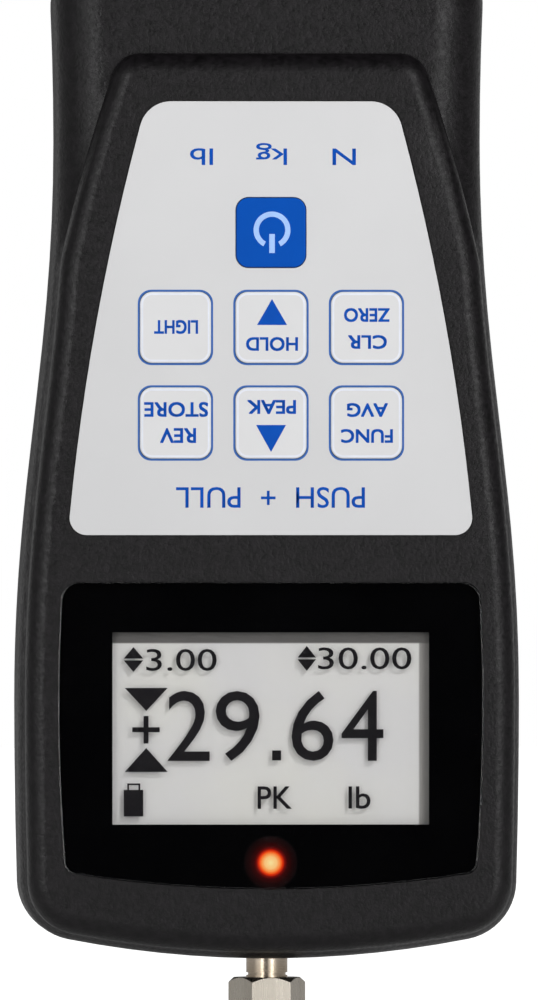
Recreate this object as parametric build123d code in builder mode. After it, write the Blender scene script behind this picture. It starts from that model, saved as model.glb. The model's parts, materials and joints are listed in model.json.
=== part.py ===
from build123d import *

import os
from math import cos, pi, radians, sqrt

# Digital force gauge, hanging nose down as it does on a test stand.
# The origin is the centre of the four threaded holes in the rear face. X runs across the face, Z along
# the measuring axis towards the handle's end, and -Y out of the display. A height is a distance in
# front of the rear face. Lengths are in millimetres.

os.makedirs("parts", exist_ok=True)

# Housing outline, seen from the front
housing_length = 201.0
head_width = 97.0
waist_narrowing = 15.2
handle_narrowing = 12.6
foot_taper = 1.6
nose_drop = 60.0
head_rise = 50.0
waist_rise = 158.0
bend_hold = 0.4
nose_radius = 202.0
end_radius = 202.0
nose_corner_radius = 11.5
handle_corner_radius = 15.0

# Housing depth and walls
housing_depth = 42.0
deck_rise = 4.0
grip_edge_radius = 10.0
rear_edge_radius = 6.0
deck_edge_radius = 4.0
side_wall = 2.5
face_wall = 3.0
rear_wall = 3.0
lip_thickness = 1.2
lip_height = 1.8
fit_gap = 0.1
boss_bite = 0.5
parting_groove = 0.3
cut_over = 1.0

# Raised deck
deck_step = 1.3
deck_end_narrowing = 39.0
deck_shoulder_grow = 1.1
deck_shoulder_rise = 126.0
deck_length = 174.6
deck_side_radius = 300.0
deck_corner_radius = 5.5
deck_blend_radius = 25.0
deck_blend_margin = 8.0

# Display window
panel_margin = 7.4
panel_top_narrowing = 1.4
panel_foot_narrowing = 2.6
panel_base_rise = 13.5
panel_height = 59.3
panel_foot_radius = 245.0
panel_top_radius = 3.8
panel_corner_radius = 2.6
lens_thickness = 1.6
lens_setback = 0.1
lens_edge_radius = 0.3
mask_thickness = 0.1
view_width = 61.0
view_height = 37.0
view_rise = 44.56
glass_margin = 3.0
glass_thickness = 2.8
front_glass_thickness = 1.0
front_glass_margin = 0.8
glass_corner = 0.5
gasket_thickness = 0.5
gasket_margin = 1.2
backlight_thickness = 2.2
frame_wall = 1.6
lamp_rise = 18.7
lamp_radius = 1.5
lamp_flange_radius = 1.9
lamp_setback = 0.3
lamp_flange = 1.0
lamp_stand = 1.4
lamp_tip_gap = 0.2
lamp_leg = 0.5
lamp_leg_pitch = 2.0

# Keypad
overlay_margin = 9.2
overlay_narrowing = 30.4
overlay_rise = 81.6
overlay_height = 83.9
overlay_side_radius = 465.0
overlay_top_radius = 6.3
overlay_foot_corner = 3.5
overlay_recess = 0.45
overlay_thickness = 0.35
key_pitch_share = 0.2341
key_spacing = 4.7
key_rise = 103.37
power_spacing = 18.27
power_size = 13.4
key_corner_radius = 2.4
key_proud = 0.2
key_flange = 1.0
key_edge_radius = 0.25
key_gap = 0.15
key_travel = 0.4
stem_inset = 1.2
stem_gap = 0.25
dome_radius = 4.4
dome_height = 0.4
dome_gap = 0.05
dome_bevel = 0.32
board_thickness = 1.6
board_corner_radius = 2.0
keypad_board_drop = 1.5
keypad_board_gap = 2.7
keypad_board_height = 61.0

# Main board
main_board_margin = 9.5
main_board_height = 57.0
tongue_narrowing = 16.0
tongue_length = 15.0
main_board_top_rise = 81.0
board_boss_radius = 2.4
board_boss_edge = 0.5
top_boss_inset = (5.0, 4.0)
tongue_boss_inset = (4.0, 4.0)
board_screw_radius = 0.8
board_screw_head_radius = 1.9
board_screw_head_height = 1.2
board_pilot_radius = 0.84
keypad_screw_bite = 2.6
main_screw_bite = 4.5
pilot_clearance = 0.5
chips = [(-10, 39, 14, 14, 1.4), (12, 35, 7, 10, 1.2), (12, 49, 5, 5, 1.0), (-8, 19, 10, 6, 1.4)]
plug_width = 6.0
plug_depth = 4.0
plug_gap = 3.2
cell_plug_drop = 6.0
port_plug_drop = 24.0
ribbon_width = 14.0
ribbon_thickness = 0.3
ribbon_plug_width = 17.0
ribbon_plug_depth = 1.6
ribbon_plug_length = 4.0
ribbon_plug_inset = 1.0

# Housing screws, three pairs
head_screw_margin = 11.0
head_screw_rise = 16.5
waist_screw_margin = 5.5
waist_screw_gap = 1.5
handle_screw_margin = 12.2
handle_screw_drop = 15.0
screw_head_radius = 2.8
screw_head_height = 2.2
head_round_share = 0.4
cross_length_share = 1.1
cross_width_share = 0.28
cross_depth_share = 0.6
screw_shank_radius = 1.5
screw_sink = 9.0
boss_radius = 4.2
thread_bite = 10.0
pilot_radius = 1.2
housing_pilot_radius = 1.55
head_gap = 0.3
shank_gap = 0.2
blind_floor = 1.5
self_tap_radius = 1.15
self_tap_bite = 1.2

# Measuring axis
shaft_radius = 4.0
stud_radius = 3.0
stud_length = 10.0
shaft_reveal = 3.7
shaft_travel = 0.3
stop_play = 0.05
bore_gap = 0.05
bush_radius = 6.5
bush_flange_radius = 8.5
bush_flange = 2.0
bush_bore_gap = 0.35
bush_setback = 0.2
ring_slot = 3.0
coupling_flats = 13.0
coupling_length = 24.0
coupling_bevel = 1.0
coupling_face_step = 0.1
coupling_bore_floor = 0.5
coupling_turn = 5.5
coupling_bore_radius = 2.5
coupling_bore_depth = 11.0
collar_radius = 7.0
collar_height = 3.0
ring_thickness = 0.9
ring_radius = 6.0
ring_seat_radius = 3.6
nut_flats = 10.0
nut_height = 4.0
nut_relief = 1.0
stud_floor = 1.0
shaft_groove_rise = 0.4
shaft_groove_width = 0.5
shaft_groove_depth = 0.35

# Force sensor and its bracket
cell_height = 50.0
cell_board_gap = 3.4
cell_rise = 32.0
limb_height = 10.0
slot_width = 2.5
slot_neck_share = 0.275
cell_neck = 3.0
cell_column = 2.5
cell_window_round = 0.45
cell_stud_depth = 8.0
plate_margin = 17.5
cell_margin = 11.0
plate_height = 84.0
plate_thickness = 3.0
plate_seat = 6.0
shelf_thickness = 6.0
stop_shelf_thickness = 4.0
stop_shelf_rise = 14.0
stop_shelf_width = 28.0
gusset_thickness = 3.0
gusset_height = 9.0
gusset_land = 3.0
plate_corner_radius = 4.0
plate_screw_edge = 4.0
plate_screw_rise = 12.0
plate_screw_way = 1.7
plate_screw_head_radius = 2.8
plate_screw_head_height = 2.0
plate_boss_radius = 3.5
socket_radius = 1.3
socket_depth = 1.2
foil_thickness = 0.15
foil_margin = 3.0
foil_size = (4.0, 6.0)
bolt_head_radius = 5.0
bolt_head_height = 6.0
bolt_reach = 8.0
bolt_socket_radius = 2.9

# Rear mounting holes
mount_edge = 6.0
mount_spacing_z = 60.0
mount_bore_radius = 2.1
insert_radius = 4.5
insert_spigot_radius = 3.5
press_gap = 0.02

# Battery in the grip
cell_radius = 7.25
battery_length = 48.0
battery_pitch = 15.0
tray_margin = 6.4
battery_rise = 143.0
tray_wall = 1.5
tray_end_gap = 1.5
tray_floor = 1.5
tray_rim = 2.0
tray_side_height = 8.0
tray_corner_radius = 2.0
strap_width = 10.0
strap_thickness = 0.8
ear_height = 7.0
ear_thickness = 2.0
ear_size = 9.0
ear_reach = 3.0
ear_boss_radius = 3.0
tray_screw_head_radius = 2.6
tray_screw_head_height = 1.8
link_thickness = 0.3
link_width = 6.0
link_corner = 1.5
wire_radius = 0.7
wire_offset = 0.9

# Sockets in the handle's end
port_board_gap = 2.8
port_board_length = 21.0
port_edge = 6.5
data_width = 12.0
data_height = 10.6
data_length = 16.0
charge_width = 9.0
charge_height = 11.0
charge_length = 13.6
port_setback = 0.8
port_board_setback = 1.5
port_screw_inset = (2.8, 3.5)
port_boss_radius = 2.6
port_screw_head_radius = 2.0
port_screw_head_height = 1.5
port_screw_way = 1.4
port_screw_bite = 8.0
data_mouth = (8.4, 7.8)
data_mouth_depth = 9.0
data_tongue = (5.6, 3.2)
data_tongue_length = 8.0
charge_mouth_radius = 3.2
charge_pin_radius = 1.05
charge_mouth_depth = 9.5
port_wire_radius = 0.8
cell_wire_radius = 1.1
lead_lift = 3.0
lead_start = 10.0
lead_slope = 30.0
port_lead_rise = 8.0
port_lead_side = 9.0
port_lead_slope = 22.0
port_lead_turn = 12.0
port_lead_foot = 24.0
bend_share = 0.45

# Places worked out from the sizes above
nose_z = -nose_drop
end_z = nose_z + housing_length
parting_height = housing_depth / 2
waist_width = head_width - waist_narrowing
handle_width = head_width - handle_narrowing
deck_end_width = head_width - deck_end_narrowing
panel_width = head_width - 2 * panel_margin
overlay_foot_width = head_width - 2 * overlay_margin
overlay_top_width = overlay_foot_width - overlay_narrowing
key_pitch = key_pitch_share * overlay_foot_width
key_size = key_pitch - key_spacing
main_board_width = head_width - 2 * main_board_margin
tongue_width = main_board_width - tongue_narrowing
plate_width = head_width - 2 * plate_margin
cell_width = plate_width - 2 * cell_margin
mount_spacing_x = plate_width - 2 * mount_edge
slot_neck = slot_neck_share * cell_width
foil_x = cell_width / 2 - slot_neck - foil_margin
cell_window_width = cell_width - 2 * cell_column
cell_window_height = cell_height - 2 * (limb_height + slot_width + cell_neck)
widest_z = nose_z + head_rise
waist_z = nose_z + waist_rise
grip_height = housing_depth - deck_rise
axis_height = parting_height
deck_inner = housing_depth - face_wall
lens_height = housing_depth - lens_setback - lens_thickness
ledge_height = lens_height - mask_thickness
glass_top = deck_inner - gasket_thickness
glass_bottom = glass_top - glass_thickness
board_height = glass_bottom - backlight_thickness
board_rear = board_height - board_thickness
cell_thickness = 2 * (board_rear - cell_board_gap - axis_height)
view_z = nose_z + view_rise
lamp_z = nose_z + lamp_rise
board_top_z = nose_z + main_board_top_rise
overlay_z = nose_z + overlay_rise
key_z = nose_z + key_rise
power_z = key_z + key_pitch + power_spacing
overlay_floor = housing_depth - overlay_recess
key_face = housing_depth + key_proud
key_back = key_face - key_flange
key_floor = key_back - key_travel - key_gap
keypad_height = deck_inner - keypad_board_drop
keypad_rear = keypad_height - board_thickness
dome_top = keypad_height + dome_height
stem_end = dome_top + key_travel + dome_gap
glass_width = view_width + 2 * glass_margin
glass_height = view_height + 2 * glass_margin
cell_bottom = nose_z + cell_rise
cell_top = cell_bottom + cell_height
cell_rear = axis_height - cell_thickness / 2
cell_front = axis_height + cell_thickness / 2
plate_front = plate_seat + plate_thickness
stop_shelf_z = nose_z + stop_shelf_rise
stop_gap = shaft_travel + stop_play
coupling_top = nose_z - shaft_reveal
coupling_bottom = coupling_top - coupling_length
collar_bottom = stop_shelf_z + stop_shelf_thickness + stop_gap
ring_top = stop_shelf_z - stop_gap
battery_z = nose_z + battery_rise
battery_height = rear_wall + tray_floor + cell_radius + fit_gap
tray_length = battery_length + 2 * tray_wall + 2 * tray_end_gap
battery_count = int((waist_width - 2 * (side_wall + tray_margin)) // battery_pitch)
tray_width = battery_pitch * battery_count + tray_rim
tray_top = rear_wall + tray_side_height
strap_height = battery_height + cell_radius + fit_gap
head_screw = (head_width / 2 - head_screw_margin, nose_z + head_screw_rise)
waist_screw_x = waist_width / 2 - waist_screw_margin
waist_screw = (waist_screw_x, battery_z - tray_length / 2 - boss_radius - waist_screw_gap)
handle_screw = (handle_width / 2 - handle_screw_margin, end_z - handle_screw_drop)
keypad_board_width = 2 * (waist_screw_x - boss_radius - keypad_board_gap)
port_board_width = 2 * (handle_screw[0] - boss_radius - port_board_gap)
port_offset = port_board_width / 2 - port_edge
port_height = axis_height - data_height / 2
port_rear = port_height - board_thickness


def arc_drop(radius, half_width):
    """How far an arc falls away from its crown at half_width to one side."""
    return radius - sqrt(radius**2 - half_width**2)


def face_plane(height):
    """Plane parallel to the face, this far in front of the rear, looking out of the display."""
    return Plane.XZ.offset(height)


def both_sides(*points):
    """Each point and its twin on the other side of the middle."""
    return [(side * x, z) for x, z in points for side in (-1, 1)]


def housing_outline(inset):
    """The housing seen from the front, with every edge brought in by inset."""
    head = head_width / 2 - inset
    foot = head - foot_taper / 2
    waist = waist_width / 2 - inset
    end = handle_width / 2 - inset
    hold = bend_hold * (waist_z - widest_z)
    foot_z = nose_z + inset + arc_drop(nose_radius - inset, foot)
    shoulder_z = end_z - inset - arc_drop(end_radius - inset, end)
    with BuildSketch() as outline:
        with BuildLine():
            TangentArc((head, widest_z), (foot, foot_z), tangent=(0, -1))
            Bezier((head, widest_z), (head, widest_z + hold), (waist, waist_z - hold), (waist, waist_z))
            TangentArc((waist, waist_z), (end, shoulder_z), tangent=(0, 1))
            mirror(about=Plane.YZ)
            ThreePointArc((-foot, foot_z), (0, nose_z + inset), (foot, foot_z))
            ThreePointArc((-end, shoulder_z), (0, end_z - inset), (end, shoulder_z))
        make_face()
        fillet(outline.vertices().sort_by(Axis.Y)[:2], nose_corner_radius - inset)
        fillet(outline.vertices().sort_by(Axis.Y)[-2:], handle_corner_radius - inset)
    return outline.sketch


def deck_outline(inset):
    """The raised deck: the housing's outline one step in, tapering to a narrow end over the grip."""
    shoulder = waist_width / 2 + deck_shoulder_grow - inset
    shoulder_z = nose_z + deck_shoulder_rise
    end = deck_end_width / 2 - inset
    deck_end = nose_z + deck_length - inset
    below = nose_z - nose_corner_radius
    with BuildSketch() as outline:
        add(housing_outline(deck_step + inset))
        with BuildLine():
            RadiusArc((shoulder, shoulder_z), (end, deck_end), -deck_side_radius)
            Polyline((shoulder, shoulder_z), (head_width, shoulder_z), (head_width, below), (0, below))
            Line((end, deck_end), (0, deck_end))
            mirror(about=Plane.YZ)
        make_face(mode=Mode.INTERSECT)
        fillet(outline.vertices().sort_by(Axis.Y)[-2:], deck_corner_radius - inset)
        blends = outline.vertices().filter_by_position(Axis.Y, shoulder_z - 2, waist_z - deck_blend_margin)
        fillet(blends, deck_blend_radius)
    return outline.sketch


def panel_outline(inset):
    """The display window: bowed sides and a foot that follows the nose."""
    top = (panel_width - panel_top_narrowing) / 2 - inset
    middle = panel_width / 2 - inset
    foot = (panel_width - panel_foot_narrowing) / 2 - inset
    base_z = nose_z + panel_base_rise + inset
    top_z = nose_z + panel_base_rise + panel_height - inset
    foot_z = base_z + arc_drop(panel_foot_radius, foot)
    with BuildSketch() as outline:
        with BuildLine():
            Line((0, top_z), (top, top_z))
            ThreePointArc((top, top_z), (middle, (top_z + foot_z) / 2), (foot, foot_z))
            mirror(about=Plane.YZ)
            ThreePointArc((-foot, foot_z), (0, base_z), (foot, foot_z))
        make_face()
        fillet(outline.vertices().group_by(Axis.Y)[0], panel_corner_radius)
        corners = outline.vertices().group_by(Axis.Y)[-1].filter_by(lambda v: abs(v.X) > 1)
        fillet(corners, panel_top_radius - inset)
    return outline.sketch


def overlay_outline(inset):
    """The keypad film: a trapezium with bowed sides, narrow towards the handle."""
    foot = overlay_foot_width / 2 - inset
    top = overlay_top_width / 2 - inset
    foot_z = overlay_z + inset
    top_z = overlay_z + overlay_height - inset
    with BuildSketch() as outline:
        with BuildLine():
            Line((0, foot_z), (foot, foot_z))
            RadiusArc((foot, foot_z), (top, top_z), -overlay_side_radius)
            Line((top, top_z), (0, top_z))
            mirror(about=Plane.YZ)
        make_face()
        ends = outline.vertices().filter_by(lambda v: abs(v.X) > 1)
        fillet(ends.sort_by(Axis.Y)[:2], overlay_foot_corner - inset)
        ends = outline.vertices().filter_by(lambda v: abs(v.X) > 1)
        fillet(ends.sort_by(Axis.Y)[-2:], overlay_top_radius - inset)
    return outline.sketch


def grip_form(inset):
    """Front half of the housing without its deck, rounded along its front edge."""
    with BuildPart() as form:
        with BuildSketch(face_plane(parting_height)):
            add(housing_outline(inset))
        extrude(amount=grip_height - inset - parting_height)
        fillet(form.faces().sort_by(Axis.Y)[0].edges(), grip_edge_radius - inset)
    return form.part


def deck_form(inset, top):
    """The raised deck down to the parting plane, rounded along its front edge."""
    with BuildPart() as form:
        with BuildSketch(face_plane(parting_height)):
            add(deck_outline(inset))
        extrude(amount=top - parting_height)
        fillet(form.faces().sort_by(Axis.Y)[0].edges(), deck_edge_radius - inset)
    return form.part


def rear_form(inset, floor):
    """Rear half of the housing, rounded along its rear edge."""
    with BuildPart() as form:
        with BuildSketch(face_plane(floor)):
            add(housing_outline(inset))
        extrude(amount=parting_height - floor)
        fillet(form.faces().sort_by(Axis.Y)[-1].edges(), rear_edge_radius - inset)
    return form.part


def lip_band(outer_inset, inner_inset, height):
    """A thin band that follows the joint between the two halves."""
    with BuildPart() as band:
        with BuildSketch(face_plane(parting_height)):
            add(housing_outline(outer_inset))
            add(housing_outline(inner_inset), mode=Mode.SUBTRACT)
        extrude(amount=height)
    return band.part


def save(piece, name):
    piece.part.label = name
    export_step(piece.part, f"parts/{name}.step")


key_places = {
    "key_menu": (-key_pitch, key_z + key_pitch, key_size),
    "key_up": (0, key_z + key_pitch, key_size),
    "key_zero": (key_pitch, key_z + key_pitch, key_size),
    "key_store": (-key_pitch, key_z, key_size),
    "key_down": (0, key_z, key_size),
    "key_function": (key_pitch, key_z, key_size),
    "key_power": (0, power_z, power_size),
}
keypad_mid_z = key_z + key_pitch
keypad_boss_x = keypad_board_width / 2 - board_boss_radius - board_boss_edge
keypad_boss_z = keypad_board_height / 2 - board_boss_radius - board_boss_edge
keypad_bosses = both_sides(
    (keypad_boss_x, keypad_mid_z - keypad_boss_z), (keypad_boss_x, keypad_mid_z + keypad_boss_z)
)
top_boss = (main_board_width / 2 - top_boss_inset[0], board_top_z - top_boss_inset[1])
tongue_z = board_top_z - main_board_height - tongue_length
tongue_boss = (tongue_width / 2 - tongue_boss_inset[0], tongue_z + tongue_boss_inset[1])
main_bosses = both_sides(top_boss, tongue_boss)
housing_screw_points = both_sides(head_screw, waist_screw, handle_screw)
plate_screw_x = plate_width / 2 - plate_screw_edge
bracket_points = both_sides((plate_screw_x, -plate_screw_rise), (plate_screw_x, plate_screw_rise))
insert_points = both_sides(
    (mount_spacing_x / 2, -mount_spacing_z / 2), (mount_spacing_x / 2, mount_spacing_z / 2)
)
tray_ear_z = tray_length / 2 + ear_reach
tray_points = [(0, battery_z - tray_ear_z), (0, battery_z + tray_ear_z)]
port_board_z = end_z - side_wall - port_board_setback - port_board_length / 2
port_board_foot = port_board_z - port_board_length / 2
port_points = both_sides((port_board_width / 2 - port_screw_inset[0], port_board_foot + port_screw_inset[1]))

# Front shell: the moulded face half, hollowed, with its recesses, key wells and bosses
with BuildPart() as front_shell:
    add(grip_form(0))
    chamfer(front_shell.faces().sort_by(Axis.Y)[-1].edges(), parting_groove)
    add(deck_form(0, housing_depth))
    add(grip_form(side_wall), mode=Mode.SUBTRACT)
    add(deck_form(side_wall, deck_inner), mode=Mode.SUBTRACT)
    add(lip_band(side_wall - lip_thickness - fit_gap, side_wall, lip_height + fit_gap), mode=Mode.SUBTRACT)
    # Window recess, the opening behind it and the lamp's hole
    with BuildSketch(face_plane(ledge_height)):
        add(panel_outline(0))
    extrude(amount=housing_depth, mode=Mode.SUBTRACT)
    with BuildSketch(face_plane(deck_inner)):
        with Locations((0, view_z)):
            Rectangle(view_width + 2 * gasket_margin, view_height + 2 * gasket_margin)
        with Locations((0, lamp_z)):
            Circle(lamp_radius + lamp_setback)
    extrude(amount=face_wall, both=True, mode=Mode.SUBTRACT)
    # Keypad recess, with a well and a stem hole for each key
    with BuildSketch(face_plane(overlay_floor)):
        add(overlay_outline(0))
    extrude(amount=housing_depth, mode=Mode.SUBTRACT)
    for x, z, size in key_places.values():
        with BuildSketch(face_plane(key_floor)):
            with Locations((x, z)):
                RectangleRounded(size + 2 * key_gap, size + 2 * key_gap, key_corner_radius + key_gap)
        extrude(amount=housing_depth, mode=Mode.SUBTRACT)
        with BuildSketch(face_plane(deck_inner)):
            with Locations((x, z)):
                hole = size - 2 * stem_inset + 2 * stem_gap
                RectangleRounded(hole, hole, key_corner_radius)
        extrude(amount=face_wall, both=True, mode=Mode.SUBTRACT)
    # Bosses for the two boards
    with BuildSketch(face_plane(keypad_height)):
        with Locations(*keypad_bosses):
            Circle(board_boss_radius)
    extrude(amount=deck_inner + boss_bite - keypad_height)
    with BuildSketch(face_plane(board_height)):
        with Locations(*main_bosses):
            Circle(board_boss_radius)
    extrude(amount=deck_inner + boss_bite - board_height)
    with BuildSketch(face_plane(keypad_height)):
        with Locations(*keypad_bosses):
            Circle(board_pilot_radius)
    extrude(amount=keypad_screw_bite + pilot_clearance, mode=Mode.SUBTRACT)
    with BuildSketch(face_plane(board_height)):
        with Locations(*main_bosses):
            Circle(board_pilot_radius)
    extrude(amount=main_screw_bite + pilot_clearance, mode=Mode.SUBTRACT)
    # Bosses that the housing screws bite in
    with BuildSketch(face_plane(parting_height)):
        with Locations(*housing_screw_points[:4]):
            Circle(boss_radius)
    extrude(amount=deck_inner + boss_bite - parting_height)
    with BuildSketch(face_plane(parting_height)):
        with Locations(*housing_screw_points[4:]):
            Circle(boss_radius)
    extrude(amount=grip_height - side_wall + boss_bite - parting_height)
    with BuildSketch(face_plane(parting_height)):
        with Locations(*housing_screw_points):
            Circle(housing_pilot_radius)
    extrude(amount=thread_bite + pilot_clearance, mode=Mode.SUBTRACT)
    # Half of the nose bush's seat, and half of the two socket openings
    with BuildSketch(Plane.XY.offset(nose_z - cut_over)):
        with Locations((0, -axis_height)):
            Circle(bush_radius + fit_gap / 2)
    extrude(amount=side_wall + 3 * cut_over, mode=Mode.SUBTRACT)
    with BuildSketch(Plane.XY.offset(end_z - side_wall - 3 * cut_over)):
        with Locations((-port_offset, -axis_height)):
            Rectangle(data_width + 2 * fit_gap, data_height + 2 * fit_gap)
        with Locations((port_offset, -port_height - charge_height / 2)):
            Rectangle(charge_width + 2 * fit_gap, charge_height + 2 * fit_gap)
    extrude(amount=side_wall + 4 * cut_over, mode=Mode.SUBTRACT)
save(front_shell, "front_shell")

# Rear shell: the back half, with its screw towers, insert seats, board and tray posts
with BuildPart() as rear_shell:
    add(rear_form(0, 0))
    chamfer(rear_shell.faces().sort_by(Axis.Y)[0].edges(), parting_groove)
    add(rear_form(side_wall, rear_wall), mode=Mode.SUBTRACT)
    add(lip_band(side_wall - lip_thickness, side_wall, lip_height))
    with BuildSketch(face_plane(rear_wall)):
        with Locations(*insert_points):
            Circle(insert_radius + side_wall)
        with Locations(*bracket_points):
            Circle(plate_boss_radius)
    extrude(amount=plate_seat - rear_wall)
    with BuildSketch(face_plane(rear_wall)):
        with Locations(*housing_screw_points):
            Circle(boss_radius)
    extrude(amount=parting_height - rear_wall)
    with BuildSketch(face_plane(rear_wall)):
        with Locations(*tray_points):
            Circle(ear_boss_radius)
    extrude(amount=ear_height - rear_wall)
    with BuildSketch(face_plane(rear_wall)):
        with Locations(*port_points):
            Circle(port_boss_radius)
    extrude(amount=port_rear - rear_wall)
    # Screw ways, blind pilot holes and the seats for the inserts
    with BuildSketch(face_plane(-cut_over)):
        with Locations(*housing_screw_points):
            Circle(screw_head_radius + head_gap)
        with Locations(*insert_points):
            Circle(insert_radius + press_gap)
    extrude(amount=screw_sink + cut_over, mode=Mode.SUBTRACT)
    with BuildSketch(face_plane(0)):
        with Locations(*housing_screw_points):
            Circle(screw_shank_radius + shank_gap)
    extrude(amount=housing_depth, mode=Mode.SUBTRACT)
    with BuildSketch(face_plane(blind_floor)):
        with Locations(*bracket_points, *tray_points, *port_points):
            Circle(pilot_radius)
    extrude(amount=housing_depth, mode=Mode.SUBTRACT)
    with BuildSketch(Plane.XY.offset(nose_z - cut_over)):
        with Locations((0, -axis_height)):
            Circle(bush_radius + fit_gap / 2)
    extrude(amount=side_wall + 3 * cut_over, mode=Mode.SUBTRACT)
    with BuildSketch(Plane.XY.offset(end_z - side_wall - 3 * cut_over)):
        with Locations((-port_offset, -axis_height)):
            Rectangle(data_width + 2 * fit_gap, data_height + 2 * fit_gap)
        with Locations((port_offset, -port_height - charge_height / 2)):
            Rectangle(charge_width + 2 * fit_gap, charge_height + 2 * fit_gap)
    extrude(amount=side_wall + 4 * cut_over, mode=Mode.SUBTRACT)
save(rear_shell, "rear_shell")


def screw_set(points, seat, shank, head_radius, head_height, shank_radius):
    """Pan-head screws whose heads stand behind seat and whose shanks run forward."""
    with BuildPart() as screws:
        with BuildSketch(face_plane(seat - head_height)):
            with Locations(*points):
                Circle(head_radius)
        extrude(amount=head_height)
        fillet(screws.edges().group_by(Axis.Y)[-1], head_height * head_round_share)
        with BuildSketch(face_plane(seat)):
            with Locations(*points):
                Circle(shank_radius)
        extrude(amount=shank)
        with BuildSketch(face_plane(seat - head_height)):
            with Locations(*points):
                Rectangle(head_radius * cross_length_share, head_radius * cross_width_share)
                Rectangle(head_radius * cross_width_share, head_radius * cross_length_share)
        extrude(amount=head_height * cross_depth_share, mode=Mode.SUBTRACT)
    return screws


housing_screws = screw_set(
    housing_screw_points,
    screw_sink,
    parting_height + thread_bite - screw_sink,
    screw_head_radius,
    screw_head_height,
    screw_shank_radius,
)
save(housing_screws, "housing_screws")

# Threaded inserts, flush with the rear face and spigoted into the bracket
with BuildPart() as mount_inserts:
    with BuildSketch(face_plane(0)):
        with Locations(*insert_points):
            Circle(insert_radius)
    extrude(amount=plate_seat)
    with BuildSketch(face_plane(plate_seat)):
        with Locations(*insert_points):
            Circle(insert_spigot_radius)
    extrude(amount=plate_thickness)
    with BuildSketch(face_plane(0)):
        with Locations(*insert_points):
            Circle(mount_bore_radius)
    extrude(amount=plate_front, mode=Mode.SUBTRACT)
save(mount_inserts, "mount_inserts")

# Window and its black print
with BuildPart() as display_lens:
    with BuildSketch(face_plane(lens_height)):
        add(panel_outline(fit_gap))
    extrude(amount=lens_thickness)
    fillet(display_lens.faces().sort_by(Axis.Y)[0].edges(), lens_edge_radius)
save(display_lens, "display_lens")

with BuildPart() as window_mask:
    with BuildSketch(face_plane(ledge_height)):
        add(panel_outline(2 * fit_gap))
        with Locations((0, view_z)):
            Rectangle(view_width, view_height, mode=Mode.SUBTRACT)
        with Locations((0, lamp_z)):
            Circle(lamp_radius + lamp_setback, mode=Mode.SUBTRACT)
    extrude(amount=mask_thickness)
save(window_mask, "window_mask")

# Display: gasket, front glass, reflecting rear glass, light guide and frame
with BuildPart() as lcd_gasket:
    with BuildSketch(face_plane(glass_top)):
        with Locations((0, view_z)):
            Rectangle(glass_width, glass_height)
            Rectangle(view_width + 2 * gasket_margin, view_height + 2 * gasket_margin, mode=Mode.SUBTRACT)
    extrude(amount=gasket_thickness)
save(lcd_gasket, "lcd_gasket")

with BuildPart() as lcd_front_glass:
    with BuildSketch(face_plane(glass_top)):
        with Locations((0, view_z)):
            Rectangle(view_width + 2 * front_glass_margin, view_height + 2 * front_glass_margin)
    extrude(amount=front_glass_thickness)
    chamfer(lcd_front_glass.edges().filter_by(Axis.Y), glass_corner)
save(lcd_front_glass, "lcd_front_glass")

with BuildPart() as lcd_glass:
    with BuildSketch(face_plane(glass_bottom)):
        with Locations((0, view_z)):
            Rectangle(glass_width, glass_height)
    extrude(amount=glass_thickness)
    chamfer(lcd_glass.edges().filter_by(Axis.Y), glass_corner)
save(lcd_glass, "lcd_glass")

with BuildPart() as lcd_backlight:
    with BuildSketch(face_plane(board_height)):
        with Locations((0, view_z)):
            Rectangle(glass_width, glass_height)
    extrude(amount=backlight_thickness)
    chamfer(lcd_backlight.edges().filter_by(Axis.Y), glass_corner)
save(lcd_backlight, "lcd_backlight")

with BuildPart() as lcd_frame:
    with BuildSketch(face_plane(board_height)):
        with Locations((0, view_z)):
            RectangleRounded(glass_width + 2 * frame_wall, glass_height + 2 * frame_wall, frame_wall)
            Rectangle(glass_width + 2 * fit_gap, glass_height + 2 * fit_gap, mode=Mode.SUBTRACT)
    extrude(amount=glass_top - board_height)
save(lcd_frame, "lcd_frame")

# Red lamp below the display, standing on its two legs
lamp_tip = ledge_height - lamp_tip_gap
lamp_base = board_height + lamp_stand
with BuildPart() as status_led:
    with BuildSketch(face_plane(lamp_base)):
        with Locations((0, lamp_z)):
            Circle(lamp_flange_radius)
    extrude(amount=lamp_flange)
    with BuildSketch(face_plane(lamp_base)):
        with Locations((0, lamp_z)):
            Circle(lamp_radius)
    extrude(amount=lamp_tip - lamp_radius - lamp_base)
    with Locations((0, lamp_radius - lamp_tip, lamp_z)):
        Sphere(lamp_radius)
    with BuildSketch(face_plane(board_height)):
        with Locations((-lamp_leg_pitch / 2, lamp_z), (lamp_leg_pitch / 2, lamp_z)):
            Rectangle(lamp_leg, lamp_leg)
    extrude(amount=lamp_base - board_height)
save(status_led, "status_led")

# Keypad film with a window for each key, the keys, and what they press
with BuildPart() as keypad_overlay:
    with BuildSketch(face_plane(overlay_floor)):
        add(overlay_outline(2 * fit_gap))
        for x, z, size in key_places.values():
            with Locations((x, z)):
                window = size + 2 * key_gap
                RectangleRounded(window, window, key_corner_radius + key_gap, mode=Mode.SUBTRACT)
    extrude(amount=overlay_thickness)
save(keypad_overlay, "keypad_overlay")

for name, (x, z, size) in key_places.items():
    with BuildPart() as key:
        with BuildSketch(face_plane(key_back)):
            with Locations((x, z)):
                RectangleRounded(size, size, key_corner_radius)
        extrude(amount=key_flange)
        fillet(key.faces().sort_by(Axis.Y)[0].edges(), key_edge_radius)
        with BuildSketch(face_plane(stem_end)):
            with Locations((x, z)):
                stem = size - 2 * stem_inset
                RectangleRounded(stem, stem, key_corner_radius - stem_gap)
        extrude(amount=key_back - stem_end)
    save(key, name)

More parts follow.
